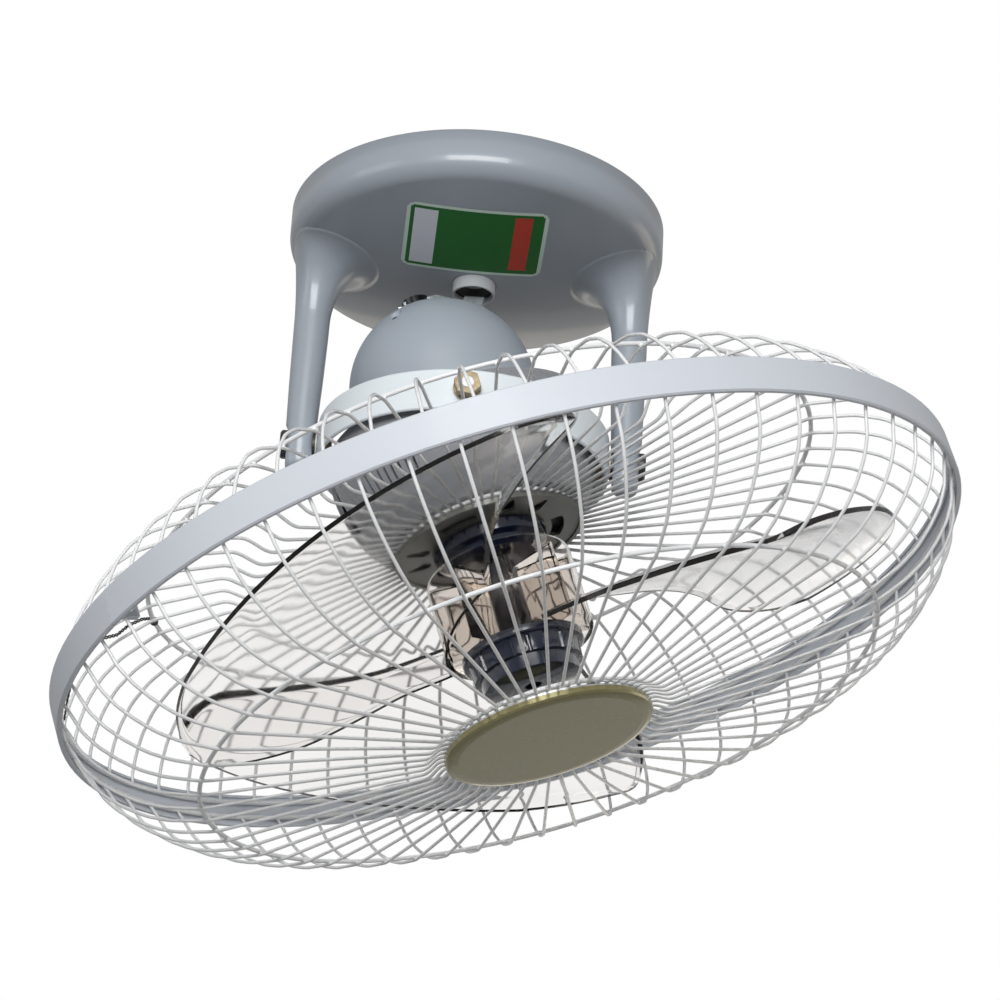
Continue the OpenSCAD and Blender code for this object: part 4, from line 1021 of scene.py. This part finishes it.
for j in range(steps_tall):
    for i in range(steps_wide):
        x, y = i + 0.5, j + 0.5
        corner_x = min(x, steps_wide - x)
        corner_y = min(y, steps_tall - y)
        from_arc = 0.0
        if corner_x < corner_r and corner_y < corner_r:
            from_arc = math.hypot(corner_r - corner_x, corner_r - corner_y)
        if from_arc > corner_r:
            continue
        a = j * (steps_wide + 1) + i
        cells.append((a, a + steps_wide + 1, a + steps_wide + 2, a + 1))
        if corner_x < border_w or corner_y < border_w or from_arc > corner_r - border_w:
            field.append(border)
        elif 4 < x < 16 and 4 < y < 46:
            field.append(pale)
        elif 54.5 < x < 64.5 and 5 < y < 46:
            field.append(red)
        else:
            field.append(green)
used = sorted({k for cell in cells for k in cell})
renumber = {old: new for new, old in enumerate(used)}
points = [grid[k] for k in used]
faces = [tuple(renumber[k] for k in cell) for cell in cells]
sticker = new_piece("sticker", points, faces, sticker_paper[0])
for paper in sticker_paper[1:]:
    sticker.data.materials.append(paper)
for face, part in zip(sticker.data.polygons, field):
    face.material_index = part
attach(sticker, "canopy_body")

# Room: a plain pale floor far below, a white surround, and soft lamps at a
# plain level. The lamps are no part of the fan.
ground_z, floor_glow, mirrored_white, ambient = -3.3, 0.62, 0.42, 0.18
room_floor = bpy.data.objects.new("room_floor", bpy.data.meshes.new("room_floor"))
reach = 9.0
room_floor.data.from_pydata(
    [
        (-reach, -reach, ground_z), (reach, -reach, ground_z), (reach, reach, ground_z),
        (-reach, reach, ground_z),
    ],
    [], [(0, 1, 2, 3)],
)
scene.collection.objects.link(room_floor)
pale_floor, shader, tools = new_material("pale_floor")
node, join, sum_of = tools
shader.inputs["Base Color"].default_value = (0.88, 0.88, 0.88, 1)
shader.inputs["Roughness"].default_value = 0.7
shader.inputs["Emission Color"].default_value = (1, 1, 1, 1)
join(
    sum_of("MULTIPLY", node("LightPath").outputs["Is Camera Ray"], floor_glow),
    shader.inputs["Emission Strength"],
)
room_floor.data.materials.append(pale_floor)

world = bpy.data.worlds.new("room_white")
world.use_nodes = True
scene.world = world
node, join, sum_of = wire_up(world.node_tree)
surround = world.node_tree.nodes["Background"]
surround.inputs["Color"].default_value = (1, 1, 1, 1)
path = node("LightPath")
seen = sum_of("MAXIMUM", path.outputs["Is Camera Ray"], path.outputs["Is Transmission Ray"])
mirrored = sum_of("MULTIPLY", path.outputs["Is Glossy Ray"], mirrored_white)
join(
    sum_of("MAXIMUM", sum_of("MAXIMUM", seen, mirrored), ambient),
    surround.inputs["Strength"],
)


def soft_lamp(name, place, size, watts, tint=(1, 1, 1), aim=(0.02, 0, -0.16)):
    """A rectangular lamp in metres and watts, turned to the fan."""
    lamp = bpy.data.lights.new(name, "AREA")
    lamp.shape = "RECTANGLE"
    lamp.size, lamp.size_y = size
    lamp.energy = watts
    lamp.color = tint
    made = bpy.data.objects.new(name, lamp)
    made.location = place
    made.rotation_euler = (Vector(aim) - Vector(place)).to_track_quat("-Z", "Y").to_euler()
    scene.collection.objects.link(made)


soft_lamp("window_front", (-0.1, -2.4, 0.25), (1.5, 1.1), 44)
soft_lamp("window_left", (-2.2, -1.2, 0.2), (1.2, 1.2), 6)
soft_lamp("room_right", (1.9, 1.2, -0.6), (1.2, 1.2), 5.5, tint=(1.0, 0.88, 0.72))
soft_lamp("room_back", (0.2, 2.4, -0.3), (2.0, 0.5), 2.5, tint=(1.0, 0.92, 0.78))

scene.view_settings.view_transform = "Standard"
